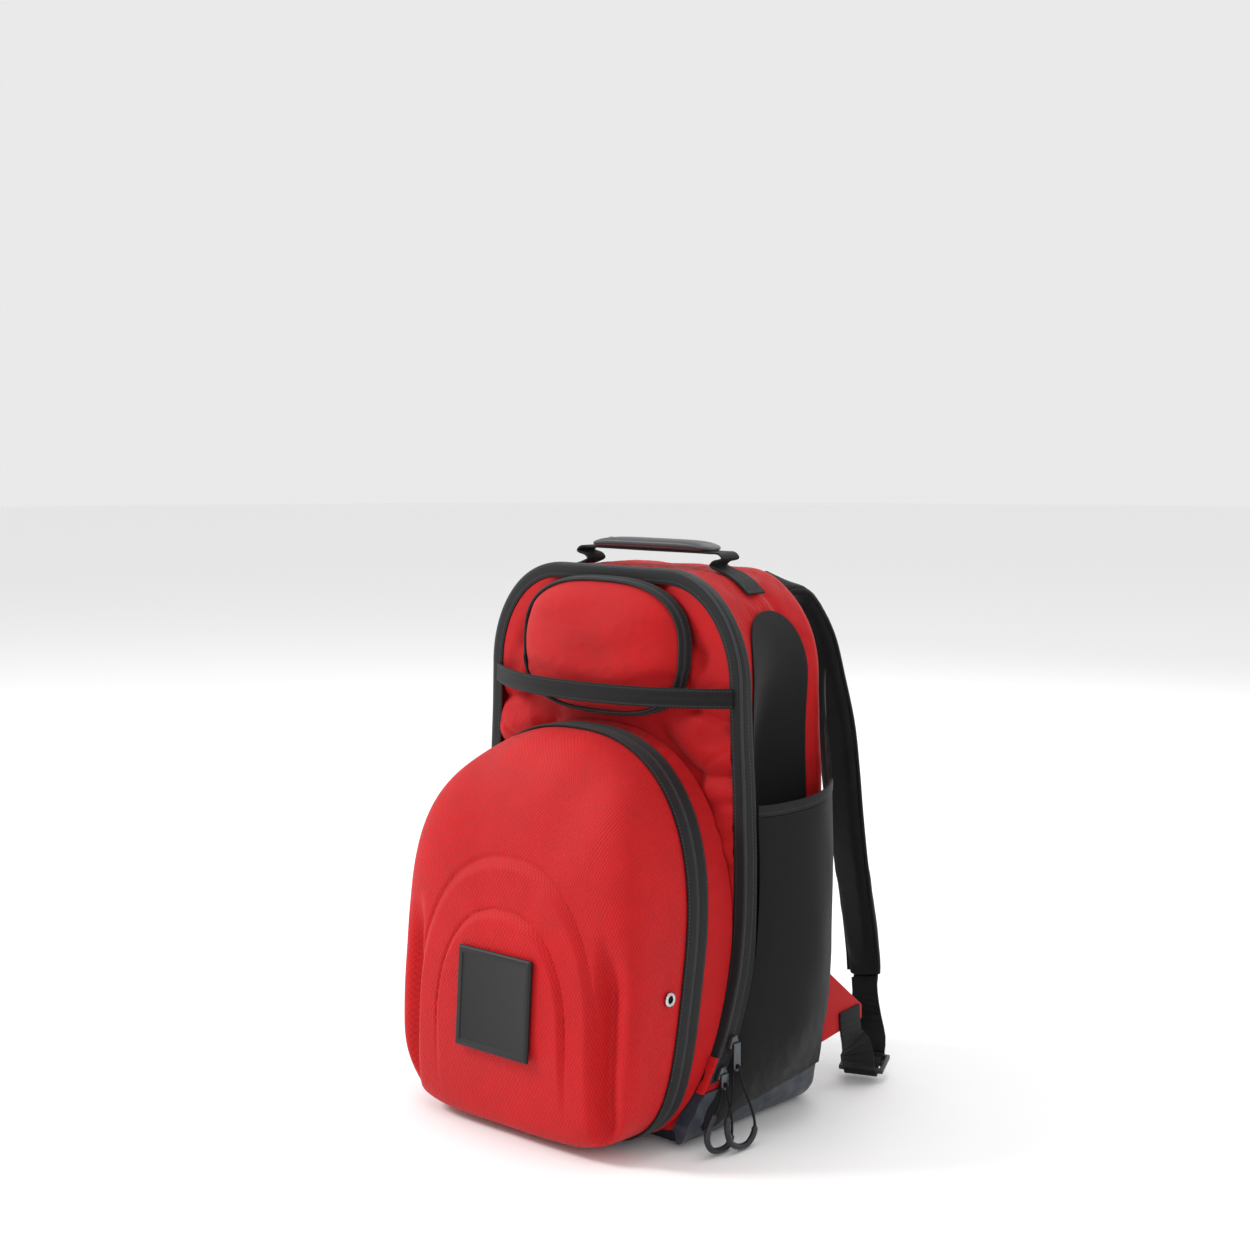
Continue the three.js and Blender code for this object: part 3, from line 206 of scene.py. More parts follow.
class Shader:
    """One material's nodes."""

    def __init__(self, name: str) -> None:
        """Starts an empty material.

        Args:
            name: The material's name.
        """
        self.material = bpy.data.materials.new(name)
        self.material.use_nodes = True
        self.tree = self.material.node_tree
        self.tree.nodes.clear()

    def node(self, kind: str, settings: dict, inputs: dict, output: int | str = 0) -> Sock:
        """Adds one node.

        Args:
            kind: The node's type.
            settings: Its settings, set first.
            inputs: Values or links of its sockets, by number or name.
            output: The socket that is read.

        Returns:
            The node's output.
        """
        made = self.tree.nodes.new(kind)
        for key, value in settings.items():
            setattr(made, key, value)
        for key, value in inputs.items():
            if isinstance(value, Sock):
                self.tree.links.new(value.socket, made.inputs[key])
            else:
                made.inputs[key].default_value = value
        return Sock(self, made.outputs[output])

    def parts(self, vector: Sock) -> tuple[Sock, Sock, Sock]:
        """Splits a vector."""
        first = self.node("ShaderNodeSeparateXYZ", {}, {0: vector})
        outputs = first.socket.node.outputs
        return first, Sock(self, outputs[1]), Sock(self, outputs[2])

    def place(self) -> Sock:
        """Object coordinates in metres."""
        return self.node("ShaderNodeTexCoord", {}, {}, "Object")

    def cloth(self) -> tuple[Sock, Sock]:
        """The piece's own map: millimetres along it and across it."""
        along, across, _ = self.parts(self.node("ShaderNodeUVMap", {"uv_map": "cloth"}, {}))
        return along, across

    def noise(self, scale: float, detail: float = 3.0) -> Sock:
        """Noise through space, of that many waves to a metre."""
        inputs = {"Vector": self.place(), "Scale": scale, "Detail": detail}
        return self.node("ShaderNodeTexNoise", {"noise_dimensions": "3D"}, inputs)

    def blend(self, share: Sock | float, low: Sock | Sequence[float], high: Sock | Sequence[float]) -> Sock:
        """Mixes two colours."""
        colours = {0: share, 6: low, 7: high}
        return self.node("ShaderNodeMix", {"data_type": "RGBA"}, colours, 2)

    def finish(self, surface: dict) -> bpy.types.Material:
        """Ends the nodes in a surface.

        Args:
            surface: Values or links of the surface's sockets.

        Returns:
            The material.
        """
        skin = self.node("ShaderNodeBsdfPrincipled", {}, surface)
        target = self.tree.nodes.new("ShaderNodeOutputMaterial")
        self.tree.links.new(skin.socket, target.inputs["Surface"])
        return self.material


def linear(red: float, green: float, blue: float) -> tuple[float, float, float, float]:
    """Turns a colour seen on a screen, 0 to 255, into the renderer's own."""
    shares = [value / 255.0 for value in (red, green, blue)]
    return (*[s / 12.92 if s <= 0.04045 else ((s + 0.055) / 1.055) ** 2.4 for s in shares], 1.0)


class Weave(Enum):
    """How a surface is made."""

    PLAIN = "plain weave"
    HONEYCOMB = "embossed honeycomb"
    RIBBED = "ribbed webbing"
    TAPE = "zip tape"
    KNIT = "stretch knit"
    COATED = "coated cloth"
    SPACER = "spacer mesh"
    BRAID = "round braid"
    MOULDED = "moulded"
    CAST = "cast metal"


@dataclass(frozen=True)
class Finish:
    """A surface with its colours, shine and weave."""

    name: str
    weave: Weave
    colour: tuple[float, float, float]
    # The darker colour: painted shade in the weave's hollows, and a random darker tone where noise mixes it in.
    shade: tuple[float, float, float]
    rough: float = 0.8
    pitch: float = 1.0
    depth: float = 0.2
    sheen: float = 0.0
    metal: float = 0.0
    shine: float = 0.22
    stitches: tuple[float, ...] = ()
    thread: tuple[float, float, float] = (60, 60, 62)
    gap: float = -1.0

    def _relief(self, shader: Shader) -> Sock:
        """Gives the height of the weave, from 0 to about 1."""
        turn = 2 * math.pi / self.pitch
        if self.weave is Weave.HONEYCOMB:
            return self._honeycomb(shader)
        if self.weave in (Weave.COATED, Weave.MOULDED, Weave.CAST):
            return shader.noise(900.0 / self.pitch, 2.0)
        along, across = shader.cloth()
        if self.weave is Weave.RIBBED:
            zigzag = (across * (1 / (4 * self.pitch))).part() - 0.5
            return ((along + zigzag.size() * (4 * self.pitch)) * turn).sin() * 0.5 + 0.5
        if self.weave is Weave.TAPE:
            return ((along + across) * turn).sin() * 0.5 + 0.5
        if self.weave is Weave.BRAID:
            left = ((along + across) * turn).sin()
            return (left * ((along - across) * turn).sin()) * 0.5 + 0.5
        if self.weave is Weave.SPACER:
            cells = (along * turn).sin() * (across * turn).sin()
            return 1 - cells.size().rise(0.35, 0.8)
        rows = (along * turn).sin() * (across * turn).sin()
        return rows * 0.5 + 0.5

    def _honeycomb(self, shader: Shader) -> Sock:
        """Small pillows in slanting rows, which run on round the form's shoulders."""
        x, y, z = (part * 1000 for part in shader.parts(shader.place()))
        behind = y + 216
        across = x + behind * (x.rise(30, 100) - x.rise(-30, -100))
        up = (z + behind * z.rise(230, 330)) * 0.62
        first = ((across + up) * (math.pi / self.pitch)).sin().size()
        second = ((across - up) * (math.pi / self.pitch)).sin().size()
        return (first * second) ** 0.45

    def _stitching(self, shader: Shader) -> Sock | None:
        """Gives the rows of stitches as a mask, or None."""
        if not self.stitches:
            return None
        mask = None
        along, across = shader.cloth()
        step = (along * (1 / 3.4)).part()
        dash = step.rise(0.70, 0.62) * step.rise(0.02, 0.1)
        for row in self.stitches:
            line = (across - row).size().rise(0.5, 0.25) * dash
            mask = line if mask is None else mask.greater(line)
        return mask

    def build(self) -> bpy.types.Material:
        """Builds the material's nodes."""
        shader = Shader(self.name)
        relief = self._relief(shader)
        uneven = shader.noise(9.0, 3.0) * 0.6 + shader.noise(60.0, 2.0) * 0.4
        # Painted shade: the weave's hollows are painted towards the shade colour, and the noise adds a random uneven
        # tone.
        tone = uneven.rise(0.28, 0.74) * 0.35 + relief * 0.65
        colour = shader.blend(tone, linear(*self.shade), linear(*self.colour))
        height = relief * self.depth + shader.noise(260.0, 2.0) * (0.12 * self.depth)
        if self.gap >= 0:
            along, across = shader.cloth()
            middle = (across - self.gap).size()
            teeth = (along * (2 * math.pi / 2.2)).sin().size()
            inside = middle.rise(1.9, 1.3)
            height = height * (1 - inside) + inside * teeth * 0.5 - middle.rise(2.6, 1.9) * 0.35
            colour = shader.blend(inside * teeth * 0.6, colour, linear(74, 76, 80))
        stitching = self._stitching(shader)
        if stitching is not None:
            colour = shader.blend(stitching, colour, linear(*self.thread))
            height = height + stitching * 0.25
        roughness = self.rough + (uneven - 0.5) * 0.14 + (relief - 0.5) * 0.06
        bump = shader.node("ShaderNodeBump", {}, {"Strength": 1.0, "Distance": MM, "Height": height})
        surface = {"Base Color": colour, "Roughness": roughness, "Normal": bump, "Metallic": self.metal,
                   "Specular IOR Level": self.shine}
        if self.sheen:
            surface["Sheen Weight"] = self.sheen
            surface["Sheen Roughness"] = 0.5
        return shader.finish(surface)


# Each SHADE colour is painted shade in the weave's hollows, and also a random darker tone.
RED, RED_SHADE = (198, 12, 18), (150, 6, 11)
BLACK, BLACK_SHADE = (25, 26, 28), (10, 10, 12)


def zip_tape(name: str, gap: float, stitches: tuple[float, ...]) -> Finish:
    """Zip tape with its teeth and its rows of stitches at these distances across it."""
    return Finish(name, Weave.TAPE, BLACK, BLACK_SHADE, 0.62, 1.5, 0.10, 0.1, gap=gap, stitches=stitches)


FINISHES = {
    "fabric": Finish("red_cloth", Weave.PLAIN, RED, RED_SHADE, 0.7, 0.9, 0.10, 0.05),
    "moulded": Finish("moulded_red_cloth", Weave.HONEYCOMB, (200, 14, 20), (158, 7, 12), 0.6, 3.9, 0.34, 0.04),
    "tape": zip_tape("main_zip_tape", 13.2, (3.2, 21.5)),
    "pocket_tape": zip_tape("pocket_zip_tape", 14.6, (2.6, 26.4)),
    "small_tape": zip_tape("small_zip_tape", 8.0, (2.2, 14.0)),
    "webbing": Finish("webbing", Weave.RIBBED, (26, 27, 29), (9, 9, 11), 0.70, 1.7, 0.26, 0.04),
    "strap": Finish("front_webbing", Weave.RIBBED, (26, 27, 29), (9, 9, 11), 0.70, 1.7, 0.26, 0.04,
                    stitches=(2.0, 16.0)),
    "binding": Finish("binding", Weave.TAPE, (36, 37, 39), (16, 16, 18), 0.62, 1.3, 0.14, 0.04, stitches=(3.0,)),
    "stretch": Finish("stretch_cloth", Weave.KNIT, (25, 24, 25), (12, 11, 12), 0.74, 1.1, 0.12, 0.06),
    "boot": Finish("coated_cloth", Weave.COATED, (48, 55, 67), (22, 27, 35), 0.34, 1.0, 0.18, 0.0, shine=0.5),
    "rubber": Finish("rubber_patch", Weave.MOULDED, (29, 29, 30), (18, 18, 19), 0.52, 1.4, 0.10, 0.0, shine=0.35),
    "mesh": Finish("spacer_mesh", Weave.SPACER, (34, 34, 36), (6, 6, 7), 0.86, 3.2, 0.55, 0.06),
    "strap_cloth": Finish("strap_cloth", Weave.KNIT, (27, 27, 28), (11, 11, 12), 0.80, 1.2, 0.14, 0.06),
    "piping": Finish("piping", Weave.BRAID, (32, 32, 34), (13, 13, 15), 0.68, 1.2, 0.16, 0.04),
    "grip": Finish("grip_foam", Weave.MOULDED, (72, 75, 78), (46, 48, 52), 0.46, 1.2, 0.14, 0.0, shine=0.4),
    "lining": Finish("grip_lining_cloth", Weave.COATED, (92, 34, 44), (58, 18, 26), 0.62, 1.0, 0.10, 0.1),
    "plastic": Finish("buckle_plastic", Weave.MOULDED, (36, 38, 42), (22, 24, 27), 0.38, 2.0, 0.05, 0.0, shine=0.45),
    "eyelet": Finish("eyelet_metal", Weave.CAST, (214, 214, 212), (170, 172, 172), 0.24, 2.0, 0.03, 0.0, 1.0, 0.5),
    "slider": Finish("slider_metal", Weave.CAST, (104, 108, 112), (62, 64, 68), 0.32, 1.6, 0.05, 0.0, 0.85, 0.5),
    "cord": Finish("pull_cord", Weave.BRAID, (28, 28, 30), (9, 9, 11), 0.66, 0.9, 0.14, 0.0),
    "tube": Finish("pull_grip", Weave.MOULDED, (32, 34, 42), (14, 14, 20), 0.34, 1.6, 0.05, 0.0, shine=0.45),
}


# Meshes


def deselect() -> None:
    """Leaves nothing selected."""
    if bpy.context.object is not None and bpy.context.object.mode != "OBJECT":
        bpy.ops.object.mode_set(mode="OBJECT")
    bpy.ops.object.select_all(action="DESELECT")


def hold(piece: bpy.types.Object) -> None:
    """Selects one piece alone and makes it active."""
    deselect()
    piece.select_set(True)
    bpy.context.view_layer.objects.active = piece


def modify(piece: bpy.types.Object, kind: str, **settings: object) -> None:
    """Adds a modifier and applies it.

    Args:
        piece: The mesh.
        kind: The modifier's type.
        settings: Its settings.
    """
    hold(piece)
    modifier = piece.modifiers.new(kind.lower(), kind)
    for key, value in settings.items():
        setattr(modifier, key, value)
    bpy.ops.object.modifier_apply(modifier=modifier.name)


def places(piece: bpy.types.Object) -> Array:
    """Reads a piece's points, in metres."""
    flat = np.empty(len(piece.data.vertices) * 3, np.float32)
    piece.data.vertices.foreach_get("co", flat)
    return flat.reshape(-1, 3)


def set_places(piece: bpy.types.Object, points: Array) -> None:
    """Moves a piece's points to these places, in metres."""
    piece.data.vertices.foreach_set("co", np.asarray(points, np.float32).ravel())
    piece.data.update()


def map_cloth(piece: bpy.types.Object, spread: Array) -> None:
    """Gives a piece its cloth map.

    Args:
        piece: The mesh.
        spread: Millimetres along and across the cloth for each point.
    """
    mesh = piece.data
    loops = np.empty(len(mesh.loops), np.int32)
    mesh.loops.foreach_get("vertex_index", loops)
    while mesh.uv_layers:
        mesh.uv_layers.remove(mesh.uv_layers[0])
    mesh.uv_layers.new(name="cloth").data.foreach_set("uv", spread[loops].astype(np.float32).ravel())


def map_flat(piece: bpy.types.Object, first: int = 0, second: int = 2) -> None:
    """Gives a piece a cloth map from two of its coordinates."""
    map_cloth(piece, places(piece)[:, [first, second]] / MM)


def shade(piece: bpy.types.Object, angle: float) -> None:
    """Shades a piece smooth wherever its faces turn by less than this angle in degrees."""
    hold(piece)
    bpy.ops.object.shade_smooth_by_angle(angle=math.radians(angle))


def rounded(
    piece: bpy.types.Object, radius: float, segments: int = 2, corner: float = 60.0, soft: float = 55.0
) -> bpy.types.Object:
    """Rounds a piece's sharp rims.

    Args:
        piece: The mesh.
        radius: Radius of the rims, in millimetres.
        segments: Faces round each rim.
        corner: The least angle that is rounded, in degrees.
        soft: The most that is shaded smooth afterwards, in degrees.

    Returns:
        The piece.
    """
    modify(piece, "BEVEL", width=radius * MM, segments=segments, limit_method="ANGLE",
           angle_limit=math.radians(corner), use_clamp_overlap=True)
    shade(piece, soft)
    return piece


def weld(piece: bpy.types.Object, close: bool) -> None:
    """Merges doubles, and closes and turns the faces out where the form is closed."""
    hold(piece)
    bpy.ops.object.mode_set(mode="EDIT")
    bpy.ops.mesh.select_all(action="SELECT")
    bpy.ops.mesh.remove_doubles(threshold=2e-5)
    if close:
        bpy.ops.mesh.fill_holes(sides=0)
        bpy.ops.mesh.select_all(action="SELECT")
        bpy.ops.mesh.normals_make_consistent(inside=False)
    bpy.ops.object.mode_set(mode="OBJECT")


def face_from(piece: bpy.types.Object, core: Sequence[float]) -> None:
    """Turns the faces away from a place inside the form.

    Args:
        piece: The mesh.
        core: The place, in millimetres.
    """
    middle = Vector(core) * MM
    outward = sum(face.normal.dot(face.center - middle) * face.area for face in piece.data.polygons)
    if outward < 0:
        piece.data.flip_normals()


def lay(
    name: str,
    columns: int,
    rows: int,
    place: Place,
    core: Sequence[float] | None = None,
    wall: float = 0.0,
    close: bool = False,
    offset: float = -1.0,
) -> bpy.types.Object:
    """Lays a grid on a surface, with a cloth map in millimetres along and across it.

    Args:
        name: The piece's name.
        columns: Faces along.
        rows: Faces across.
        place: Gives the places for shares along and across.
        core: A place inside the form, where its faces turn away from one.
        wall: Thickness that the sheet gets, or 0.
        close: Whether the form is closed by itself.
        offset: Side of the wall: -1 inwards, 0 both ways.

    Returns:
        The piece.
    """
    deselect()
    bpy.ops.mesh.primitive_grid_add(x_subdivisions=columns, y_subdivisions=rows, size=1.0)
    piece = bpy.context.object
    piece.name = piece.data.name = name
    flat = places(piece)
    column = np.rint((flat[:, 0] + 0.5) * columns).astype(int)
    row = np.rint((flat[:, 1] + 0.5) * rows).astype(int)
    points = np.asarray(place(column / columns, row / rows), float)
    set_places(piece, points * MM)
    net = np.zeros((rows + 1, columns + 1, 3))
    net[row, column] = points
    along, across = (
        np.concatenate([[0.0], np.cumsum(np.linalg.norm(np.diff(net, axis=axis), axis=2).mean(1 - axis))])
        for axis in (1, 0)
    )
    map_cloth(piece, np.stack([along[column], across[row]], axis=1))
    weld(piece, close)
    if core is not None:
        face_from(piece, core)
    if wall:
        modify(piece, "SOLIDIFY", thickness=wall * MM, offset=offset)
    shade(piece, 55)
    return piece


def ribbon(name: str, centres: Array, across: Array, width: Array | float, thickness: float) -> bpy.types.Object:
    """Makes flat webbing along stations.

    Args:
        name: The piece's name.
        centres: The middle of each station.
        across: The direction of the width at each.
        width: The width.
        thickness: The thickness.

    Returns:
        The piece.
    """
    last = len(centres) - 1
    wide = np.broadcast_to(np.asarray(width, float), (len(centres),))

    def place(u: Array, v: Array) -> Array:
        """Takes the stations as they are."""
        station = np.rint(u * last).astype(int)
        return centres[station] + across[station] * ((v - 0.5) * wide[station])[:, None]

    return rounded(lay(name, last, 4, place, wall=thickness, offset=0.0), 0.32 * thickness, soft=50)


def tube(name: str, points: Array, radius: Array | float, sides: int) -> bpy.types.Object:
    """Makes a round cord along points.

    Args:
        name: The piece's name.
        points: The middle line.
        radius: Half the thickness, at each point where it changes.
        sides: Faces round it.

    Returns:
        The piece.
    """
    last = len(points) - 1
    thick = np.broadcast_to(np.asarray(radius, float), (len(points),))
    along = unit(np.gradient(points, axis=0))
    normals = [unit(np.cross(along[0], [0.31, 0.87, 0.39]))]
    for way in along[1:]:
        normals.append(unit(normals[-1] - way * float(normals[-1] @ way)))
    normal = np.array(normals)
    side = np.cross(along, normal)

    def place(u: Array, v: Array) -> Array:
        """Goes round each station, and shut at the ends."""
        station = np.rint(u * last).astype(int)
        angle = v * 2 * math.pi
        ring = normal[station] * np.cos(angle)[:, None] + side[station] * np.sin(angle)[:, None]
        return points[station] + thick[station][:, None] * ring

    return lay(name, last, sides, place, close=True)


def from_solid(name: str, node: str) -> bpy.types.Object:
    """Starts a piece from a solid's own shape, with its corners joined.

    Args:
        name: The piece's name.
        node: The solid.

    Returns:
        The piece.
    """
    source = bpy.data.objects[node]
    piece = bpy.data.objects.new(name, source.data.copy())
    piece.data.name = name
    bpy.context.scene.collection.objects.link(piece)
    weld(piece, False)
    map_flat(piece)
    return piece


def worn(name: str, node: str, radius: float, first: int = 0, second: int = 2) -> bpy.types.Object:
    """Copies a solid and rounds its corners.

    Args:
        name: The piece's name.
        node: The solid.
        radius: Radius of its corners, in millimetres.
        first: Coordinate that the cloth map runs along.
        second: Coordinate that it runs across.

    Returns:
        The piece.
    """
    piece = from_solid(name, node)
    hold(piece)
    bpy.ops.object.mode_set(mode="EDIT")
    bpy.ops.mesh.select_all(action="SELECT")
    bpy.ops.mesh.dissolve_limited(angle_limit=math.radians(1.5))
    bpy.ops.object.mode_set(mode="OBJECT")
    rounded(piece, radius, 3, 38, 42)
    map_flat(piece, first, second)
    return piece


def soften(piece: bpy.types.Object, voxel: float, shrink: float, cap: float, pressure: float = 4.0) -> None:
    """Fills a pad by cloth simulation.

    Args:
        piece: The closed form.
        voxel: Size of the even mesh, in millimetres.
        shrink: How far the form is drawn in first.
        cap: The most that a point may move.
        pressure: Air pressure of the filling.
    """
    modify(piece, "REMESH", mode="VOXEL", voxel_size=voxel * MM)
    normals = np.empty(len(piece.data.vertices) * 3, np.float32)
    piece.data.vertices.foreach_get("normal", normals)
    start = places(piece) - normals.reshape(-1, 3) * shrink * MM
    set_places(piece, start)
    hold(piece)
    cloth = piece.modifiers.new("filling", "CLOTH")
    cloth.settings.use_pressure = True
    cloth.settings.uniform_pressure_force = pressure
    cloth.settings.effector_weights.gravity = 0.0
    cloth.settings.quality = 5
    cloth.collision_settings.use_collision = False
    cloth.point_cache.frame_start = 1
    cloth.point_cache.frame_end = 20
    for frame in range(1, 21):
        bpy.context.scene.frame_set(frame)
    bpy.ops.object.modifier_apply(modifier=cloth.name)
    bpy.context.scene.frame_set(1)
    step = places(piece) - start
    far = np.linalg.norm(step, axis=1, keepdims=True)
    limit = cap * MM
    step *= np.minimum(1.0, limit * np.tanh(far / limit) / np.maximum(far, 1e-9))
    set_places(piece, start + step)
    modify(piece, "SUBSURF", levels=1, render_levels=1)
    hold(piece)
    bpy.ops.object.shade_smooth()


def shape(piece: bpy.types.Object, change: Callable[[Array], Array]) -> None:
    """Moves a piece's points, in millimetres."""
    set_places(piece, change(places(piece).astype(float) / MM) * MM)


def join(pieces: Sequence[bpy.types.Object], name: str) -> bpy.types.Object:
    """Joins pieces of one finish into one."""
    deselect()
    for piece in pieces:
        piece.select_set(True)
    bpy.context.view_layer.objects.active = pieces[0]
    bpy.ops.object.join()
    pieces[0].name = pieces[0].data.name = name
    return pieces[0]


def mirrored(piece: bpy.types.Object, name: str) -> bpy.types.Object:
    """Copies a piece to the other side, with its own mesh."""
    other = bpy.data.objects.new(name, piece.data.copy())
    other.data.name = name
    bpy.context.scene.collection.objects.link(other)
    other.data.transform(Matrix.Scale(-1.0, 4, (1.0, 0.0, 0.0)))
    other.data.flip_normals()
    return other


MADE: dict[str, bpy.types.Material] = {}


def made_finish(name: str) -> bpy.types.Material:
    """Builds a finish once and keeps it."""
    if name not in MADE:
        MADE[name] = FINISHES[name].build()
    return MADE[name]


def dress(piece: bpy.types.Object, finish: str, slot: str, *nodes: str) -> bpy.types.Object:
    """Gives a piece its finish and body, and hides the solids that it stands for.

    Args:
        piece: The finished mesh.
        finish: A name in FINISHES.
        slot: Not used.
        nodes: The solids.

    Returns:
        The piece.
    """
    piece.data.materials.clear()
    piece.data.materials.append(made_finish(finish))
    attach(piece, "root")
    if nodes:
        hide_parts(*nodes)
    LOG.info("%s: %d faces, %s", piece.name, len(piece.data.polygons), finish)
    return piece


def dress_pair(right: bpy.types.Object, finish: str, slot: str, node: str = "") -> None:
    """Dresses a piece of the right side and its copy on the left.

    Args:
        right: The finished mesh, with a name that ends in right.
        finish: A name in FINISHES.
        slot: Handed on to dress, which does not use it.
        node: The solids' name without its side, where there are such solids.
    """
    left = mirrored(right, right.name.removesuffix("right") + "left")
    for side, piece in (("right", right), ("left", left)):
        dress(piece, finish, slot, *([f"{node}_{side}"] if node else []))


# Lines and sections


def closed_rim(
    half: float,
    middle: float,
    heights: tuple[float, float],
    powers: tuple[float, float],
    counts: tuple[int, int, int],
) -> Array:
    """Draws a rounded rim at even steps.

    Args:
        half: Half its width.
        middle: Height of its middle.
        heights: How far it goes up and down from there.
        powers: How square its upper and its lower half are.
        counts: Places that it is drawn through, even steps that it is cut in, and steps to each side that its
            direction is taken over.

    Returns:
        Rows of x, z and the outward direction's x and z.
    """
    drawn, steps, reach = counts
    angle = np.linspace(0, 2 * math.pi, drawn)
    c, s = np.cos(angle), np.sin(angle)
    power = np.where(s > 0, *powers)
    radius = (np.abs(c) ** power + np.abs(s) ** power) ** (-1 / power)
    x, z = half * radius * c, middle + np.where(s > 0, *heights) * radius * s
    run = np.concatenate([[0], np.cumsum(np.hypot(np.diff(x), np.diff(z)))])
    where = np.linspace(0, run[-1], steps + 1)
    x, z = np.interp(where, run, x), np.interp(where, run, z)
    dx, dz = (np.roll(row[:-1], -reach) - np.roll(row[:-1], reach) for row in (x, z))
    size = np.hypot(dx, dz)
    return np.stack([x, z, np.append(dz / size, dz[0] / size[0]), np.append(-dx / size, -dx[0] / size[0])])


def follow(rows: Array, t: Array, grow: Array | float) -> tuple[Array, Array, Array, Array]:
    """Follows a closed line.

    Args:
        rows: Its x, z and outward direction at even steps.
        t: Share round it.
        grow: How far outside it.

    Returns:
        x, z and the outward direction's x and z.
    """
    shares = np.linspace(0, 1, rows.shape[1])
    x, z, nx, nz = (np.interp(np.asarray(t) % 1.0, shares, row) for row in rows)
    return x + nx * grow, z + nz * grow, nx, nz


def crown(v: Array, start: float, width: float, power: float) -> Array:
    """Bulges from 0 at start to 1 and back to 0 over a width."""
    return np.sin(math.pi * np.clip((v - start) / width, 0, 1)) ** power


# The body's form


@dataclass(frozen=True)
class BodyForm:
    """Sizes of the bag's body, and where its surfaces lie."""

    height: float = 504.0
    half_width: float = 160.0
    back: float = 64.0
    front: float = 62.0
    lean: float = 80.0
    lean_height: float = 230.0
    lean_power: float = 2.2
    foot_rise: float = 2.9
    foot_radius: float = 25.0
    foot_tuck: float = 28.0
    foot_tuck_height: float = 32.0
    shoulder_width: float = 86.0
    shoulder_height: float = 100.0
    back_radius: float = 16.0
    channel_depth: float = 36.0
    channel_half: float = 55.0
    channel_middle: float = 2.0
    channel_floor: float = 30.0
    channel_top: float = 482.0
    fit: float = 0.4
    boot: float = 2.5

    def front_line(self, z: Array | float) -> Array | float:
        """Depth of the main zip at a height."""
        share = np.clip((self.lean_height - z) / self.lean_height, 0, 1)
        low = np.clip((self.foot_tuck_height - z) / (self.foot_tuck_height - self.foot_rise), 0, 1)
        tuck = self.foot_tuck * (1 - np.sqrt(1 - low * low))
        return tuck - (self.front + self.lean * share**self.lean_power)

    def side(self, z: Array | float) -> Array | float:
        """Half width at a height."""
        heights = (0.055, 0.1, 0.18, 0.3, 0.5, 0.62, 0.72, 0.8)
        widths = (0.93, 0.955, 0.985, 1, 1, 0.988, 0.97, 0.963)
        return self.half_width * np.interp(np.asarray(z) / self.height, heights, widths)

    def channel(self, y: Array, z: Array) -> Array:
        """Depth of the hollow for a bat."""
        along = (y - self.channel_middle) / self.channel_half
        across = np.maximum(0, 1 - along * along) ** 2
        low = smooth(z, self.channel_floor, self.channel_floor * 2.6)
        high = 1 - smooth(z, self.channel_top * 0.66, self.channel_top)
        return self.channel_depth * across * low * high

    @cached_property
    def _outline(self) -> Array:
        """Rows of share, x, z and outward direction round the body, from the middle of the foot."""
        foot = float(self.side(self.foot_rise + self.foot_radius))
        shoulder_x = float(self.side(self.height)) - self.shoulder_width
        shoulder_z = self.height - self.shoulder_height
        turn = np.linspace(0, 1, 120)
        corner = -math.pi / 2 * (1 - turn)
        arch = math.pi / 2 * turn
        up = np.linspace(self.foot_rise + self.foot_radius, shoulder_z, 300)
        half = np.vstack([
            stack(np.linspace(0, foot - self.foot_radius, 160), self.foot_rise, np.zeros(160))[:, :2],
            np.stack([foot - self.foot_radius + self.foot_radius * np.cos(corner),
                      self.foot_rise + self.foot_radius + self.foot_radius * np.sin(corner)], 1)[1:],
            np.stack([self.side(up), up], 1)[1:],
            np.stack([shoulder_x + self.shoulder_width * np.cos(arch),
                      shoulder_z + self.shoulder_height * np.sin(arch)], 1)[1:],
            np.stack([np.linspace(shoulder_x, 0, 80), np.full(80, self.height)], 1)[1:],
        ])
        line = np.vstack([half, half[-2::-1] * [-1, 1]])
        run = np.concatenate([[0], np.cumsum(np.linalg.norm(np.diff(line, axis=0), axis=1))])
        shares = np.linspace(0, 1, 2401)
        even = np.stack([np.interp(shares * run[-1], run, line[:, k]) for k in range(2)], 1)
        way = np.roll(even[:-1], -6, 0) - np.roll(even[:-1], 6, 0)
        way = np.vstack([way, way[:1]])
        way /= np.linalg.norm(way, axis=1, keepdims=True)
        return np.column_stack([shares, even, way[:, 1], -way[:, 0]])

    def outline(self, t: Array, grow: Array | float = 0.0) -> tuple[Array, Array, Array, Array]:
        """Follows the outline, moved out by grow."""
        return follow(self._outline.T[1:], t, grow)

    def share_at(self, z: float) -> float:
        """Share round the outline where its right side is at this height."""
        rows = self._outline
        half = rows[(rows[:, 0] > 0.02) & (rows[:, 0] < 0.5)]
        rising = np.maximum.accumulate(half[:, 2])
        return float(np.interp(z, rising, half[:, 0]))

    def folds(self, x: Array, z: Array) -> Array:
        """Height of the front panel's folds, inwards where it is less than 0."""
        total = np.zeros(np.broadcast(x, z).shape)
        for fold in PANEL_FOLDS:
            a = np.array([fold[0] * self.half_width, fold[1] * self.height])
            b = np.array([fold[2] * self.half_width, fold[3] * self.height])
            line = b - a
            px, pz = np.abs(x) - a[0], z - a[1]
            share = np.clip((px * line[0] + pz * line[1]) / (line @ line), 0, 1)
            away = np.hypot(px - share * line[0], pz - share * line[1]) / fold[5]
            total = total + fold[4] * np.exp(-away * away)
        return total

    def panel(self, x: Array, z: Array, folded: bool = True) -> Array:
        """Depth of the front panel's face."""
        rho = np.hypot(x / self.half_width, (z - self.height / 2) / (self.height / 2))
        base = self.front_line(z) - self.fit - 2.6 - 9.0 * np.maximum(0, 1 - rho * rho)
        return base - (self.folds(x, z) if folded else 0)

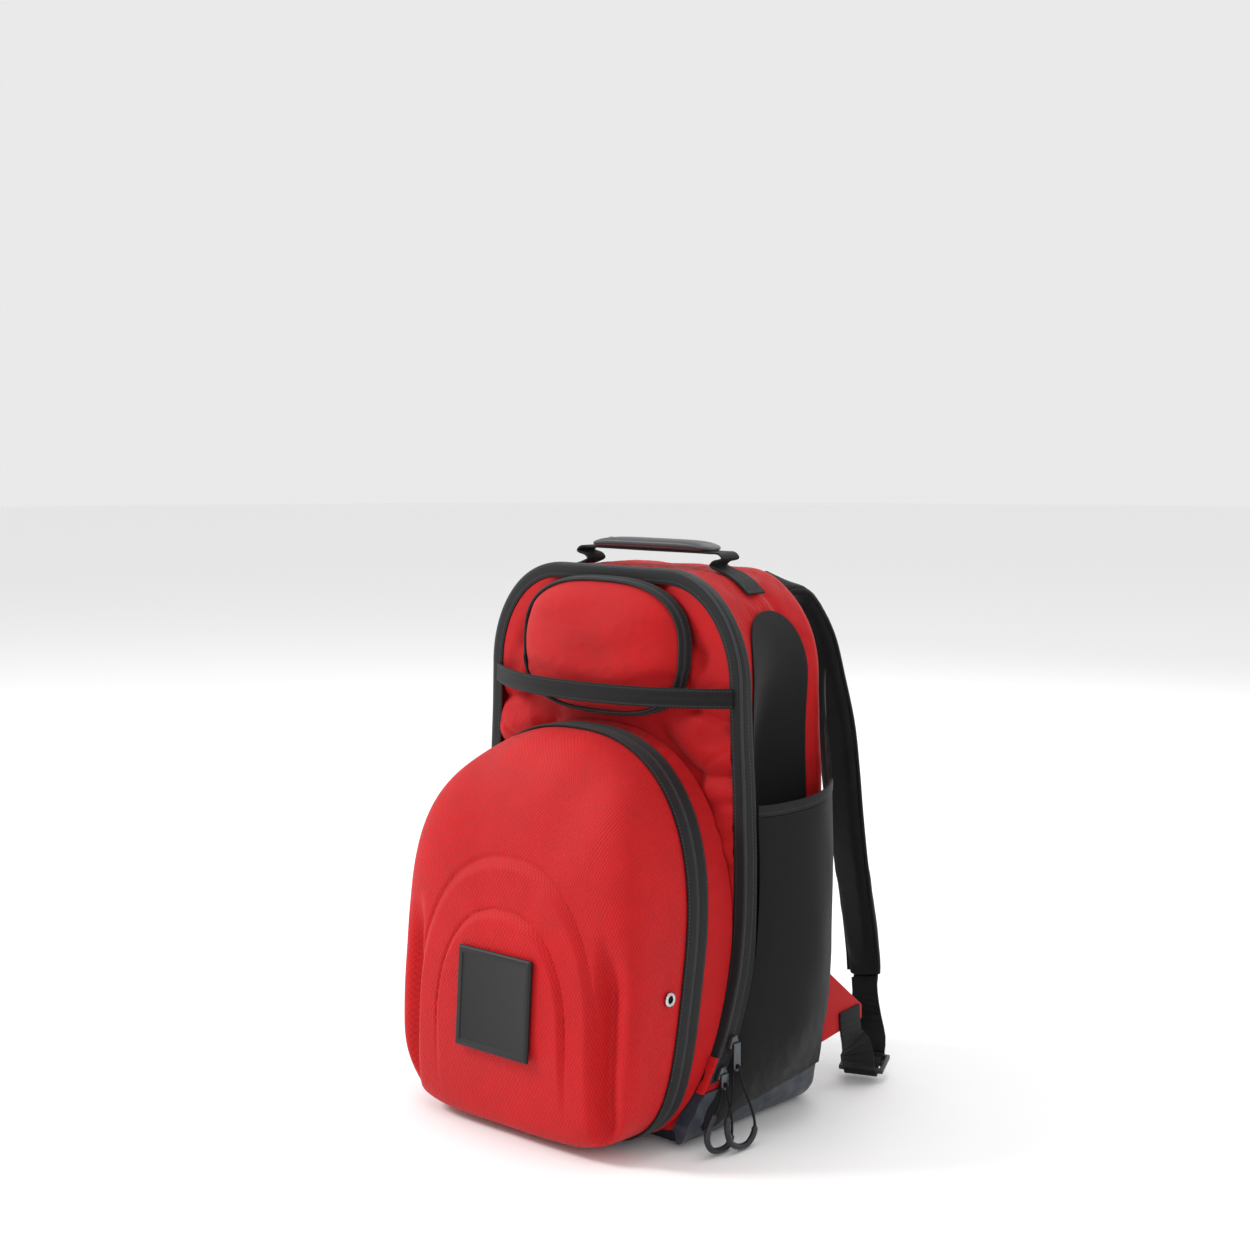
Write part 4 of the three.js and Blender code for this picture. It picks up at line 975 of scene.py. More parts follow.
    def side_point(self, z: Array, grow: float, y: Array) -> Array:
        """Places on the right side wall, pushed in by the hollow for a bat.

        Args:
            z: Heights.
            grow: How far outside the wall.
            y: Depths.

        Returns:
            The places.
        """
        rows = self._outline[(self._outline[:, 0] > 0.02) & (self._outline[:, 0] < 0.499)]
        rising = np.maximum.accumulate(rows[:, 2]) + np.arange(len(rows)) * 1e-9
        x, nx, nz = (np.interp(z, rising, rows[:, k]) for k in (1, 3, 4))
        return stack(x + nx * (grow - self.channel(y, z)), y, z + nz * grow)


# Ends of each fold as shares of half width and height, then its depth and width.
PANEL_FOLDS = (
    (0.36, 0.965, 0.66, 0.85, -7, 11),
    (0.56, 0.87, 0.72, 0.75, 4, 12),
    (0.62, 0.765, 0.93, 0.735, -5, 9),
    (0.4, 0.715, 0.66, 0.64, -6, 11),
    (0.66, 0.64, 0.95, 0.645, -4, 9),
    (0.62, 0.7, 0.85, 0.68, 4, 11),
    (0.40, 0.95, 0.60, 0.875, -2.6, 4),
    (0.64, 0.758, 0.93, 0.732, -3.6, 3.5),
    (0.44, 0.70, 0.655, 0.645, -2.8, 4.5),
    (0.67, 0.638, 0.93, 0.645, -2.6, 4),
    (0.74, 0.665, 0.88, 0.69, -1.8, 3),
    (0.70, 0.585, 0.96, 0.6, -2.8, 5),
    (0.70, 0.56, 0.94, 0.555, 1.8, 5),
    (0.72, 0.52, 0.97, 0.51, 1.8, 6),
    (0.74, 0.475, 0.97, 0.49, -2.4, 5),
    (0.76, 0.40, 0.97, 0.385, -2.0, 5),
    (0.60, 0.83, 0.66, 0.76, -2.4, 4),
)
BODY = BodyForm()
CORE = (0, 0, 250)


# The studio


@dataclass
class Studio:
    """Floor, lights and camera."""

    turn: float = 42.0
    pitch: float = 5.8
    distance: float = 1953.0
    lens: float = 57.6
    aim_right: float = 30.0
    aim_down: float = 455.0
    focal: float = 2000.0

    def build(self) -> None:
        """Makes the floor, the lights and the camera."""
        self._camera()
        self._floor()
        lamps = (
            ("key", (-2.0, -1.7, 2.2), 0.8, 62.0),
            ("side", (2.5, -0.9, 1.2), 1.2, 7.0),
            ("top", (0.1, 0.3, 2.8), 1.6, 16.0),
            ("rear", (-0.6, 2.4, 1.9), 1.6, 14.0),
        )
        for name, at, size, power in lamps:
            data = bpy.data.lights.new(name, "AREA")
            data.size = size
            data.energy = power
            lamp = bpy.data.objects.new(name, data)
            lamp.location = at
            lamp.rotation_euler = (Vector((0.0, 0.0, 0.24)) - Vector(at)).to_track_quat("-Z", "Y").to_euler()
            bpy.context.scene.collection.objects.link(lamp)
        world = bpy.data.worlds.new("studio")
        world.use_nodes = True
        world.node_tree.nodes["Background"].inputs["Color"].default_value = (1.0, 1.0, 1.0, 1.0)
        world.node_tree.nodes["Background"].inputs["Strength"].default_value = 0.82
        bpy.context.scene.world = world
        bpy.context.scene.view_settings.view_transform = "Standard"

    def _camera(self) -> None:
        """Stands the camera where the photograph was taken from."""
        a, p = math.radians(self.turn), math.radians(self.pitch)
        forward = Vector((-math.sin(a) * math.cos(p), math.cos(a) * math.cos(p), -math.sin(p)))
        right = Vector((math.cos(a), math.sin(a), 0.0))
        up = Vector((-math.sin(a) * math.sin(p), math.cos(a) * math.sin(p), math.cos(p)))
        offset = forward + right * (self.aim_right / self.focal) - up * (self.aim_down / self.focal)
        data = bpy.data.cameras.new("camera")
        data.lens = self.lens
        data.sensor_width = 36.0
        data.clip_end = 50.0
        camera = bpy.data.objects.new("camera", data)
        frame = Matrix((right, up, -forward)).transposed().to_4x4()
        frame.translation = offset * (-self.distance * MM)
        camera.matrix_world = frame
        bpy.context.scene.collection.objects.link(camera)
        bpy.context.scene.camera = camera

    def _floor(self) -> None:
        """Lays a wide pale floor."""
        deselect()
        bpy.ops.mesh.primitive_circle_add(vertices=96, radius=14.0, fill_type="NGON")
        floor = bpy.context.object
        floor.name = "floor"
        shader = Shader("pale_floor")
        tone = shader.blend(shader.noise(3.0) * 0.25, linear(250, 250, 250), linear(247, 247, 248))
        floor.data.materials.append(shader.finish({"Base Color": tone, "Roughness": 0.85}))


# Zip pulls


@dataclass
class ZipPulls:
    """Two sliders near the right end of the main zip, their tabs, and the cord loops with soft grips."""

    tab_top: dict[str, float] = field(default_factory=lambda: {"upper": 92.0, "lower": 66.0})
    tab_length: dict[str, float] = field(default_factory=lambda: {"upper": 26.0, "lower": 14.3})
    tab_forward: dict[str, float] = field(default_factory=lambda: {"upper": 6.75, "lower": 5.4})
    tab_width: float = 9.0
    cord: float = 2.4
    grip: float = 5.6
    fit: float = 0.4
    end_length: float = 30.0
    end_width: float = 8.0
    end_drop: float = 8.0
    end_over: float = 3.5
    end_z: float = 58.0

    def cords(self) -> None:
        """Makes the loops first, each from its hole round and back into it."""
        for name, places in CORD_ROUTES.items():
            top = self.tab_top[name]
            x = float(BODY.side(top)) + 2.8 + 2 * self.fit + 5 + 1
            y = float(BODY.front_line(top)) + self.tab_forward[name]
            hole = np.array([x, y, top - self.tab_length[name] + self.tab_width / 2])
            route = Route([hole - [self.fit, 0, 0], hole + [-3.1, 0, 0.3], *places,
                           hole + [3.1, 0, 0.3], hole + [self.fit, 0, 0]])
            points = route.at(np.linspace(0, 1, 150))
            loop = tube(f"pull_loop_{name}", points, self.cord / 2, 12)
            dress(loop, "cord", "webbing", f"pull_cord_{name}")
            start, end = GRIP_SHARES[name]
            along = np.linspace(0, 1, 90)
            past = (np.abs(along * 2 - 1) - 0.92).clip(0)
            swell = np.minimum(1, np.sqrt(np.maximum(0, 1 - past**2 / 0.0064)))
            swell = np.where(np.abs(along * 2 - 1) > 0.9999, 0.55, np.maximum(0.62, swell))
            radius = self.grip / 2 * swell * (1 + 0.012 * np.sin(along * 150))
            sleeve = tube(f"pull_sleeve_{name}", route.at(lerp(start, end, along)), radius, 18)
            dress(sleeve, "tube", "webbing", f"pull_grip_{name}")
            [tuple(p * MM) for p in points]

    def build(self) -> None:
        """Makes the sliders, the tabs and the folded zip ends."""
        for name in self.tab_top:
            slider = worn(f"slider_{name}", f"zip_slider_{name}", 0.9)
            dress(slider, "slider", "metal", f"zip_slider_{name}")
            tab = worn(f"puller_{name}", f"pull_tab_{name}", 0.5)
            dress(tab, "slider", "metal", f"pull_tab_{name}")
        dress_pair(self._zip_end(), "fabric", "fabric", "zip_end")

    def _zip_end(self) -> bpy.types.Object:
        """A strip of cloth folded over the zip's end and pinched at its middle."""
        def place(u: Array, v: Array) -> Array:
            """Goes down the strip, which narrows at its middle."""
            z = self.end_z - self.end_drop + self.end_length * v
            pinch = 1 - 0.3 * np.exp(-(((v - 0.42) / 0.16) ** 2))
            x = BODY.side(z) + self.end_over - self.end_width * (1 - u) * pinch - 0.6 * (1 - pinch)
            crown = 1.5 * np.sin(math.pi * u) ** 0.6 * (0.55 + 0.45 * np.cos(14 * v) ** 2)
            return stack(x, BODY.front_line(z) - 4.4 - crown, z)

        return rounded(lay("zip_fold_right", 14, 40, place, wall=1.8, offset=1.0), 0.5)


CORD_ROUTES = {
    "lower": [
        (161.3, -95.3, 51.5), (166, -103, 43), (172, -120, 34), (174, -129, 26), (174, -130, 16), (174, -124, 7.5),
        (174, -113, 4.2), (174, -102, 5.5), (174, -97, 12), (174, -96, 22), (172, -96, 36), (167.8, -95.2, 50.5),
    ],
    "upper": [
        (164, -82.2, 65), (167.5, -87, 57), (176, -98, 46), (181, -110, 35), (182.5, -113, 24), (182.5, -108, 11.5),
        (182.5, -96, 4.8), (182.5, -84, 4.8), (182.5, -76, 11.5), (182.5, -74.5, 21), (179, -77, 38),
        (173, -80, 55), (170.9, -81.2, 64.5),
    ],
}
GRIP_SHARES = {"lower": (0.24, 0.7), "upper": (0.3, 0.68)}


# The body


@dataclass
class MainBody:
    """Red tub, its front panel, the main zip round the edge and the coated boot at the foot."""

    leg: float = 11.0
    leg_side_low: float = 18.0
    leg_side_top: float = 10.0
    zip_end: float = 58.0
    boot_top: float = 50.0
    panel_edge: float = 11.4
    rub: float = 1.4
    rub_front: float = -42.5
    rub_rear: float = 40.0
    rub_top: float = 468.0
    rub_foot: float = 66.0

    def build(self) -> None:
        """Makes and dresses the body's pieces."""
        dress(self._shell(), "fabric", "fabric", "main_shell")
        dress(self._panel(), "fabric", "fabric", "front_panel")
        dress(self._zip(), "tape", "webbing", "main_zip")
        dress(self._boot(), "boot", "boot", "base_boot")
        dress_pair(self._rub(), "stretch", "stretch", "bat_channel")

    def _wall(self, t: Array, y: Array, grow: Array | float, inward: Array | float = 0.0) -> Array:
        """Places on the tub's wall at shares round it and depths, with the bat's hollow pushed in."""
        x, z, nx, nz = BODY.outline(t, grow)
        x = x - nx * (inward + BODY.channel(y, z))
        return stack(x, y, z - nz * inward)

    def _shell(self) -> bpy.types.Object:
        """The tub, from its front edge over the side and round to the middle of the back."""
        radius, bend = BODY.back_radius, BODY.back - BODY.back_radius
        lip_end, wall_end, corner_end = 0.04, 0.66, 0.78

        def place(u: Array, v: Array) -> Array:
            """Goes back along the side, round the corner, and in over the back."""
            _, z0, _, _ = BODY.outline(u)
            side = np.clip((v - lip_end) / (wall_end - lip_end), 0, 1)
            lip = np.clip(1 - v / lip_end, 0, 1)
            angle = np.clip((v - wall_end) / (corner_end - wall_end), 0, 1) * math.pi / 2
            share = np.clip((v - corner_end) / (1 - corner_end), 0, 1)
            y = np.where(v < wall_end, lerp(BODY.front_line(z0), bend, side), bend + radius * np.sin(angle))
            y = y + lip * 7
            points = self._wall(u, y, 0.0, radius * (1 - np.cos(angle)) + 3.0 * np.minimum(1, 3 * lip))
            points[:, 0] *= 1 - share
            points[:, 2] = lerp(points[:, 2], BODY.height / 2, share)
            return points

        piece = lay("tub", 420, 110, place, core=CORE)

        def crease(points: Array) -> Array:
            """Sinks soft wrinkles where the cloth hangs free."""
            x, y, z = points.T
            free = smooth(z, 60, 110) * (1 - smooth(np.abs(y), 54, 64))
            free = free + smooth(z, 400, 440) * smooth(60 - y, 0, 8)
            free = np.clip(free, 0, 1) * smooth(y - BODY.front_line(z), 4, 16)
            soft = 1.5 * (0.5 + 0.5 * ripple(points * [1, 1.6, 1], 62, 3.1))
            fine = 0.8 * np.abs(ripple(points * [1, 2.2, 0.8], 24, 7.7)) ** 1.5
            top = 3.4 * np.exp(-((np.abs(y - 6 - 0.22 * (np.abs(x) - 80)) / 7) ** 2)) * smooth(z, 408, 452)
            top = top * (1 - smooth(z, 482, 500))
            ring = 2.0 * np.exp(-((((z - 455) + 0.35 * (y - 10)) / 5) ** 2))
            ring = ring * (1 - smooth(np.abs(y - 12), 22, 46))
            depth = free * (soft + fine) + top + ring
            out = points - [0, 0, 250]
            out[:, 1] = 0
            return points - unit(out) * depth[:, None]

        shape(piece, crease)
        shade(piece, 60)
        return piece

    def _panel(self) -> bpy.types.Object:
        """The front panel with its folds, from its rim to its middle."""
        middle = BODY.height / 2

        def place(u: Array, v: Array) -> Array:
            """Goes in from the rim, which turns under the tape."""
            x, z, _, _ = BODY.outline(u, -self.panel_edge)
            share = 1 - np.clip((v - 0.03) / 0.97, 0, 1)
            x, z = x * share, middle + (z - middle) * share
            under = np.clip(1 - v / 0.03, 0, 1)
            rim = 1.2 * np.exp(-((v - 0.03) / 0.035) ** 2)
            y = BODY.panel(x, z) + under * 2.4 + rim
            points = stack(x, y, z)
            loose = smooth(v, 0.05, 0.2) * smooth(np.abs(x), 70, 100)
            y = y + loose * (0.55 * ripple(points, 38, 1.3) + 0.4 * np.abs(ripple(points, 17, 5.1)))
            return stack(x, y, z)

        return lay("panel", 520, 110, place, core=(0, 40, 250))

    def _zip(self) -> bpy.types.Object:
        """Two tapes that meet in a groove at the edge, lying over the panel's rim and the tub's."""
        start = BODY.share_at(self.zip_end)

        def place(u: Array, v: Array) -> Array:
            """Goes round the tapes' closed section: out along the front, round the edge, back along the side."""
            t = lerp(start, 1 - start, u)
            _, z0, _, _ = BODY.outline(t)
            reach = lerp(self.leg_side_low, self.leg_side_top, smooth(z0, BODY.lean_height, BODY.height))
            # Section stops: distance outwards, a share of the side leg backwards, and depth forwards.
            stops = np.array([0, 0.30, 0.345, 0.39, 0.68, 0.70, 0.96, 1.0])
            outward = np.interp(v, stops, [-self.leg, 0.6, 2.2, 2.4, 2.4, 0.4, 0.4, -self.leg])
            back = np.interp(v, stops, [0, 0, 0, 0.04, 1, 1, 0, 0])
            ahead = np.interp(v, stops, [-2.4, -2.4, -1.9, -0.6, 0, 0, -0.4, -2.4])
            y = BODY.front_line(z0) + back * reach + ahead - 0.55 * crown(v, 0.01, 0.28, 0.5)
            return self._wall(t, y, outward + 0.5 * crown(v, 0.40, 0.27, 0.5))

        return lay("edge_zip", 620, 44, place, core=CORE, close=True)

    def _boot(self) -> bpy.types.Object:
        """Coated cloth round the foot, folded over its front edge and up the back."""
        high = BODY.share_at(self.boot_top)
        radius, skin = BODY.back_radius, BODY.fit + BODY.boot
        leg_end, fold_end, wall_end = 0.10, 0.12, 0.82

        def place(u: Array, v: Array) -> Array:
            """Goes in from the front leg, along the side or the foot, and round the rear corner."""
            t = lerp(-high, high, u)
            _, z0, _, _ = BODY.outline(t)
            front = BODY.front_line(z0) - skin
            leg = np.clip(v / leg_end, 0, 1)
            side = np.clip((v - fold_end) / (wall_end - fold_end), 0, 1)
            angle = np.clip((v - wall_end) / (1 - wall_end), 0, 1) * math.pi / 2
            bend = BODY.back + skin - radius
            y = np.where(v < wall_end, lerp(front, bend, side), bend + radius * np.sin(angle))
            y = y + np.where(v < fold_end, 0.5 * np.clip((v - 0.09) / 0.03, 0, 1), 0)
            grow = np.where(v < fold_end, lerp(-self.leg, skin, leg), skin)
            return self._wall(t, y, grow, radius * (1 - np.cos(angle)))

        piece = lay("foot_boot", 420, 110, place, core=(0, -20, 60), wall=2.0)

        def crease(points: Array) -> Array:
            """Sinks slanting creases into the coated cloth."""
            x, y, z = points.T
            slant = np.sin((y * 0.55 + z * 1.0 + 7 * ripple(points, 46, 2.2)) * 0.21)
            depth = (0.55 + 0.55 * slant) * smooth(z, 6, 18) * (1 - smooth(z, 43, 49))
            depth = depth + 0.8 * np.abs(ripple(points, 30, 4.4)) * smooth(z, 5, 14)
            out = points - [0, 0, 45]
            out[:, 1] = 0
            out[:, 2] = np.minimum(out[:, 2], 0)
            return points - unit(out) * depth[:, None]

        shape(piece, crease)
        foot = float(BODY.side(BODY.foot_rise + BODY.foot_radius))
        bend = BODY.foot_radius + skin - radius
        hub = foot - BODY.foot_radius

        def behind(u: Array, v: Array) -> Array:
            """Closes the boot over the foot of the back."""
            x = lerp(-(hub + bend), hub + bend, u)
            past = np.clip(np.abs(x) - hub, 0, bend)
            low = BODY.foot_rise + BODY.foot_radius - np.sqrt(np.maximum(bend * bend - past * past, 0))
            low = np.where(past <= 0, BODY.foot_rise + BODY.foot_radius - bend, low)
            z = lerp(low, self.boot_top, v)
            return stack(x, BODY.back + skin, z)

        rear = lay("boot_rear", 90, 12, behind, core=(0, 0, 30), wall=2.0)
        return join([piece, rear], "foot_boot")

    def _rub(self) -> bpy.types.Object:
        """Black cloth that lines the hollow for a bat."""
        middle = (self.rub_front + self.rub_rear) / 2
        t = np.linspace(0, 1, 60)

        def arc(edge: float, foot: float) -> tuple[Array, Array]:
            """Depth and height along one rounded upper corner."""
            y = (1 - t) ** 2 * edge + 2 * t * (1 - t) * edge + t**2 * middle
            z = (1 - t) ** 2 * foot + 2 * t * (1 - t) * self.rub_top + t**2 * self.rub_top
            return y, z

        rear_y, rear_z = arc(self.rub_rear, self.rub_top * 0.85)
        front_y, front_z = arc(self.rub_front, self.rub_top * 0.88)
        line_y = np.concatenate([front_y, rear_y[-2::-1]])
        line_z = np.concatenate([front_z, rear_z[-2::-1]])

        def place(u: Array, v: Array) -> Array:
            """Goes across the lining and up to its rounded top."""
            y = lerp(self.rub_front, self.rub_rear, 0.5 - 0.5 * np.cos(math.pi * u))
            z = lerp(self.rub_foot, np.interp(y, line_y, line_z), v)
            points = BODY.side_point(z, BODY.fit + self.rub, y)
            points[:, 0] -= 0.35 * (0.5 + 0.5 * ripple(points, 55, 6.0))
            return points

        return rounded(lay("rub_cloth_right", 50, 150, place, core=CORE, wall=1.3), 0.4)


# The moulded pocket


@dataclass
class MouldedPocket:
    """Stiff lower pocket with two raised arches, its gusset and zip, the patch and the vents."""

    half_width: float = 148.0
    top: float = 360.0
    bottom: float = 5.0
    middle: float = 165.0
    front: float = 216.0
    top_depth: float = 98.0
    lean: float = 50.0
    face_drop: float = 35.0
    face_tilt: float = 4.0
    patch_height: float = 125.0
    arch_rise: float = 4.0
    zip_width: float = 27.0
    zip_back: float = 11.0
    flare: float = 4.0
    eyelet_radius: float = 6.6
    eyelet_bore: float = 3.2
    eyelet_height: float = 143.0
    eyelet_depth: float = 152.0

    def build(self) -> None:
        """Makes and dresses the pocket's pieces."""
        dress(self._dome(), "moulded", "moulded", "lower_pocket")
        dress(self._gusset(), "fabric", "fabric", "lower_pocket_gusset")
        dress(self._zip(), "pocket_tape", "webbing", "lower_pocket_zip")
        dress(worn("badge_plate", "patch", 0.8), "rubber", "rubber", "patch")
        dress_pair(self._eyelet(), "eyelet", "metal", "eyelet")
        # The dark discs in the vents are painted shade.
        dress_pair(self._vent_cloth(), "stretch", "stretch")

    def line(self, z: Array) -> Array:
        """Depth of the pocket's rim at a height."""
        share = np.clip((self.top - z) / self.top, 0, 1)
        return -(self.top_depth + self.lean * share**1.6)

    @cached_property
    def _rim(self) -> Array:
        """Rows of x, z and outward direction round the pocket's rim."""
        heights = (self.top - self.middle, self.middle - self.bottom)
        return closed_rim(self.half_width, self.middle, heights, (2.45, 5.0), (4001, 1200, 8))

    def rim(self, t: Array, grow: Array | float) -> tuple[Array, Array, Array]:
        """Follows the pocket's rim.

        Args:
            t: Share round it.
            grow: How far outside it.

        Returns:
            x, z and the outward direction's z.
        """
        x, z, _, nz = follow(self._rim, t, grow)
        return x, z, nz

    def _arches(self, x: Array, z: Array) -> Array:
        """Height of the two arches, with a fine crease along each."""
        total = np.zeros(len(x))
        for wide, peak in ((0.73, 0.69), (0.53, 0.565)):
            foot = 0.26 * self.top
            across = np.abs(x) / (wide * self.half_width)
            up = np.maximum(0, z - foot) / (peak * self.top - foot)
            edge = 1 - (across**2.3 + up**2.3) ** (1 / 2.3)
            fade = smooth(z, foot * 0.25, foot * 1.2)
            total += self.arch_rise * smooth(edge, -0.022, 0.05) * fade
            total -= 1.5 * np.exp(-(((edge + 0.028) / 0.013) ** 2)) * fade
        return total

    def _dome(self) -> bpy.types.Object:
        """The moulded shell, from its rim over the shoulder to the middle of its face."""
        turn = 0.44

        def place(u: Array, v: Array) -> Array:
            """Goes forward up the side, then in over the face."""
            px, pz, nz = self.rim(u, 0.0)
            power = lerp(7.0, 3.1, smooth(nz, 0.25, 0.95))
            knee = 0.5 ** (1 / power)
            rising = v < turn
            forward = lerp(0, knee, np.clip(v / turn, 0, 1))
            spread = lerp(knee, 0, np.clip((v - turn) / (1 - turn), 0, 1))
            forward = np.where(rising, forward, np.maximum(0, 1 - spread**power) ** (1 / power))
            spread = np.where(rising, np.maximum(0, 1 - forward**power) ** (1 / power), spread)
            x = px * spread
            z = self.middle - self.face_drop * (1 - spread) + (pz - self.middle) * spread
            face = -self.front + math.tan(math.radians(self.face_tilt)) * (z - self.patch_height)
            y = lerp(self.line(pz) - BODY.fit, face, forward)
            y = y + (2 * self.arch_rise - self._arches(x, z)) * forward**3
            level = smooth(z, 4, 42) * (1 - smooth(z, 142, 214))
            side = (np.abs(x) - 117) / np.where(np.abs(x) < 117, 6.0, 15.0)
            y = y + 16.0 * np.exp(-side * side) * level * smooth(forward, 0.6, 0.92)
            x = x + np.sign(x) * 1.8 * np.exp(-(((forward - 0.72) / 0.24) ** 2)) * level
            swell = np.exp(-(((forward - 0.55) / 0.3) ** 2)) * smooth(forward, 0.05, 0.3)
            y = y - 0.9 * ripple(stack(x, y, z), 70, 2.7) * swell
            return stack(x, y, z)

        piece = lay("moulded_dome", 440, 170, place, core=(0, -100, 150))
        hold(piece)
        bpy.ops.object.mode_set(mode="EDIT")
        bpy.ops.mesh.select_all(action="DESELECT")
        bpy.ops.object.mode_set(mode="OBJECT")
        # The vents are cut through the shell before it gets its wall.
        for face in piece.data.polygons:
            middle = face.center / MM
            away = math.hypot(middle.y + self.eyelet_depth, middle.z - self.eyelet_height)
            face.select = away < self.eyelet_bore + 0.7 and abs(middle.x) > self.half_width * 0.8
        bpy.ops.object.mode_set(mode="EDIT")
        bpy.ops.mesh.select_mode(type="FACE")
        bpy.ops.mesh.delete(type="FACE")
        bpy.ops.object.mode_set(mode="OBJECT")
        modify(piece, "SOLIDIFY", thickness=2.4 * MM, offset=-1.0)
        shade(piece, 50)
        return piece

    def _gusset(self) -> bpy.types.Object:
        """Cloth between the front panel and the moulded shell."""
        def place(u: Array, v: Array) -> Array:
            """Goes forward from the panel to the zip."""
            x, z, _ = self.rim(u, self.flare * (1 - v) ** 2 - 0.5 * np.sin(math.pi * v))
            base = BODY.panel(x, z, folded=False)
            proud = np.maximum(0, BODY.folds(x, z))
            seat = base - proud - 2 - (1 - smooth(z, 25, 100))
            y = lerp(seat, self.line(z) + 2.0, v)
            points = stack(x, y, z)
            pull = 0.8 * ripple(points * [1, 0.2, 1], 18, 3.3) * np.sin(math.pi * v)
            x, z, _ = self.rim(u, self.flare * (1 - v) ** 2 + pull - 0.3)
            return stack(x, y, z)

        return lay("pocket_gusset", 460, 14, place, core=(0, -100, 150), wall=1.6)

    def _zip(self) -> bpy.types.Object:
        """Two tapes that meet in a groove, round the pocket's rim."""
        def place(u: Array, v: Array) -> Array:
            """Goes round the closed section: forward edge, outer side, rear edge, inner side."""
            stops = np.array([0, 0.03, 0.28, 0.31, 0.34, 0.6, 0.63, 1.0])
            grow = np.interp(v, stops, [0.7, 2.3, 2.6, 2.0, 2.6, 2.3, 0.7, 0.7])
            bulge = 0.5 * (crown(v, 0.03, 0.26, 0.6) + crown(v, 0.33, 0.27, 0.6))
            back = np.interp(v, stops, [0, 0, 0.47, 0.5, 0.53, 1, 1, 0])
            x, z, _ = self.rim(u, grow + bulge)
            _, z0, _ = self.rim(u, 0.0)
            rear = np.minimum(self.zip_back, 0.55 * (BODY.panel(0 * z0, z0, folded=False) - self.line(z0)))
            y = self.line(z0) + lerp(self.zip_back - self.zip_width, rear, back)
            return stack(x, y, z)

        return lay("pocket_zip", 560, 40, place, core=(0, -110, 150))

    def _eyelet(self) -> bpy.types.Object:
        """A rolled metal ring set in the side."""
        def place(u: Array, v: Array) -> Array:
            """Goes round the ring and round its rolled section."""
            around, section = u * 2 * math.pi, v * 2 * math.pi
            middle = (self.eyelet_radius + self.eyelet_bore) / 2
            half = (self.eyelet_radius - self.eyelet_bore) / 2
            radius = middle + half * np.cos(section)
            rise = 0.3 + 1.15 * np.sin(section) * (1 - 0.12 * np.cos(section))
            return stack(self.half_width + 2.0 + rise, radius * np.cos(around) - self.eyelet_depth,
                         radius * np.sin(around) + self.eyelet_height)

        return lay("vent_ring_right", 48, 18, place, close=True)

    def _vent_cloth(self) -> bpy.types.Object:
        """A dark disc inside the vent, painted shade for the dark hole into the bag."""
        def place(u: Array, v: Array) -> Array:
            """Goes in from the disc's rim, which is cupped."""
            radius, around = (self.eyelet_bore + 0.9) * (1 - v), u * 2 * math.pi
            return stack(self.half_width + 1.7 - 1.6 * np.sqrt(v), radius * np.cos(around) - self.eyelet_depth,
                         radius * np.sin(around) + self.eyelet_height)

        return lay("vent_cloth_right", 32, 6, place, core=(0, -152, 143))


# The upper pocket and the strap over it


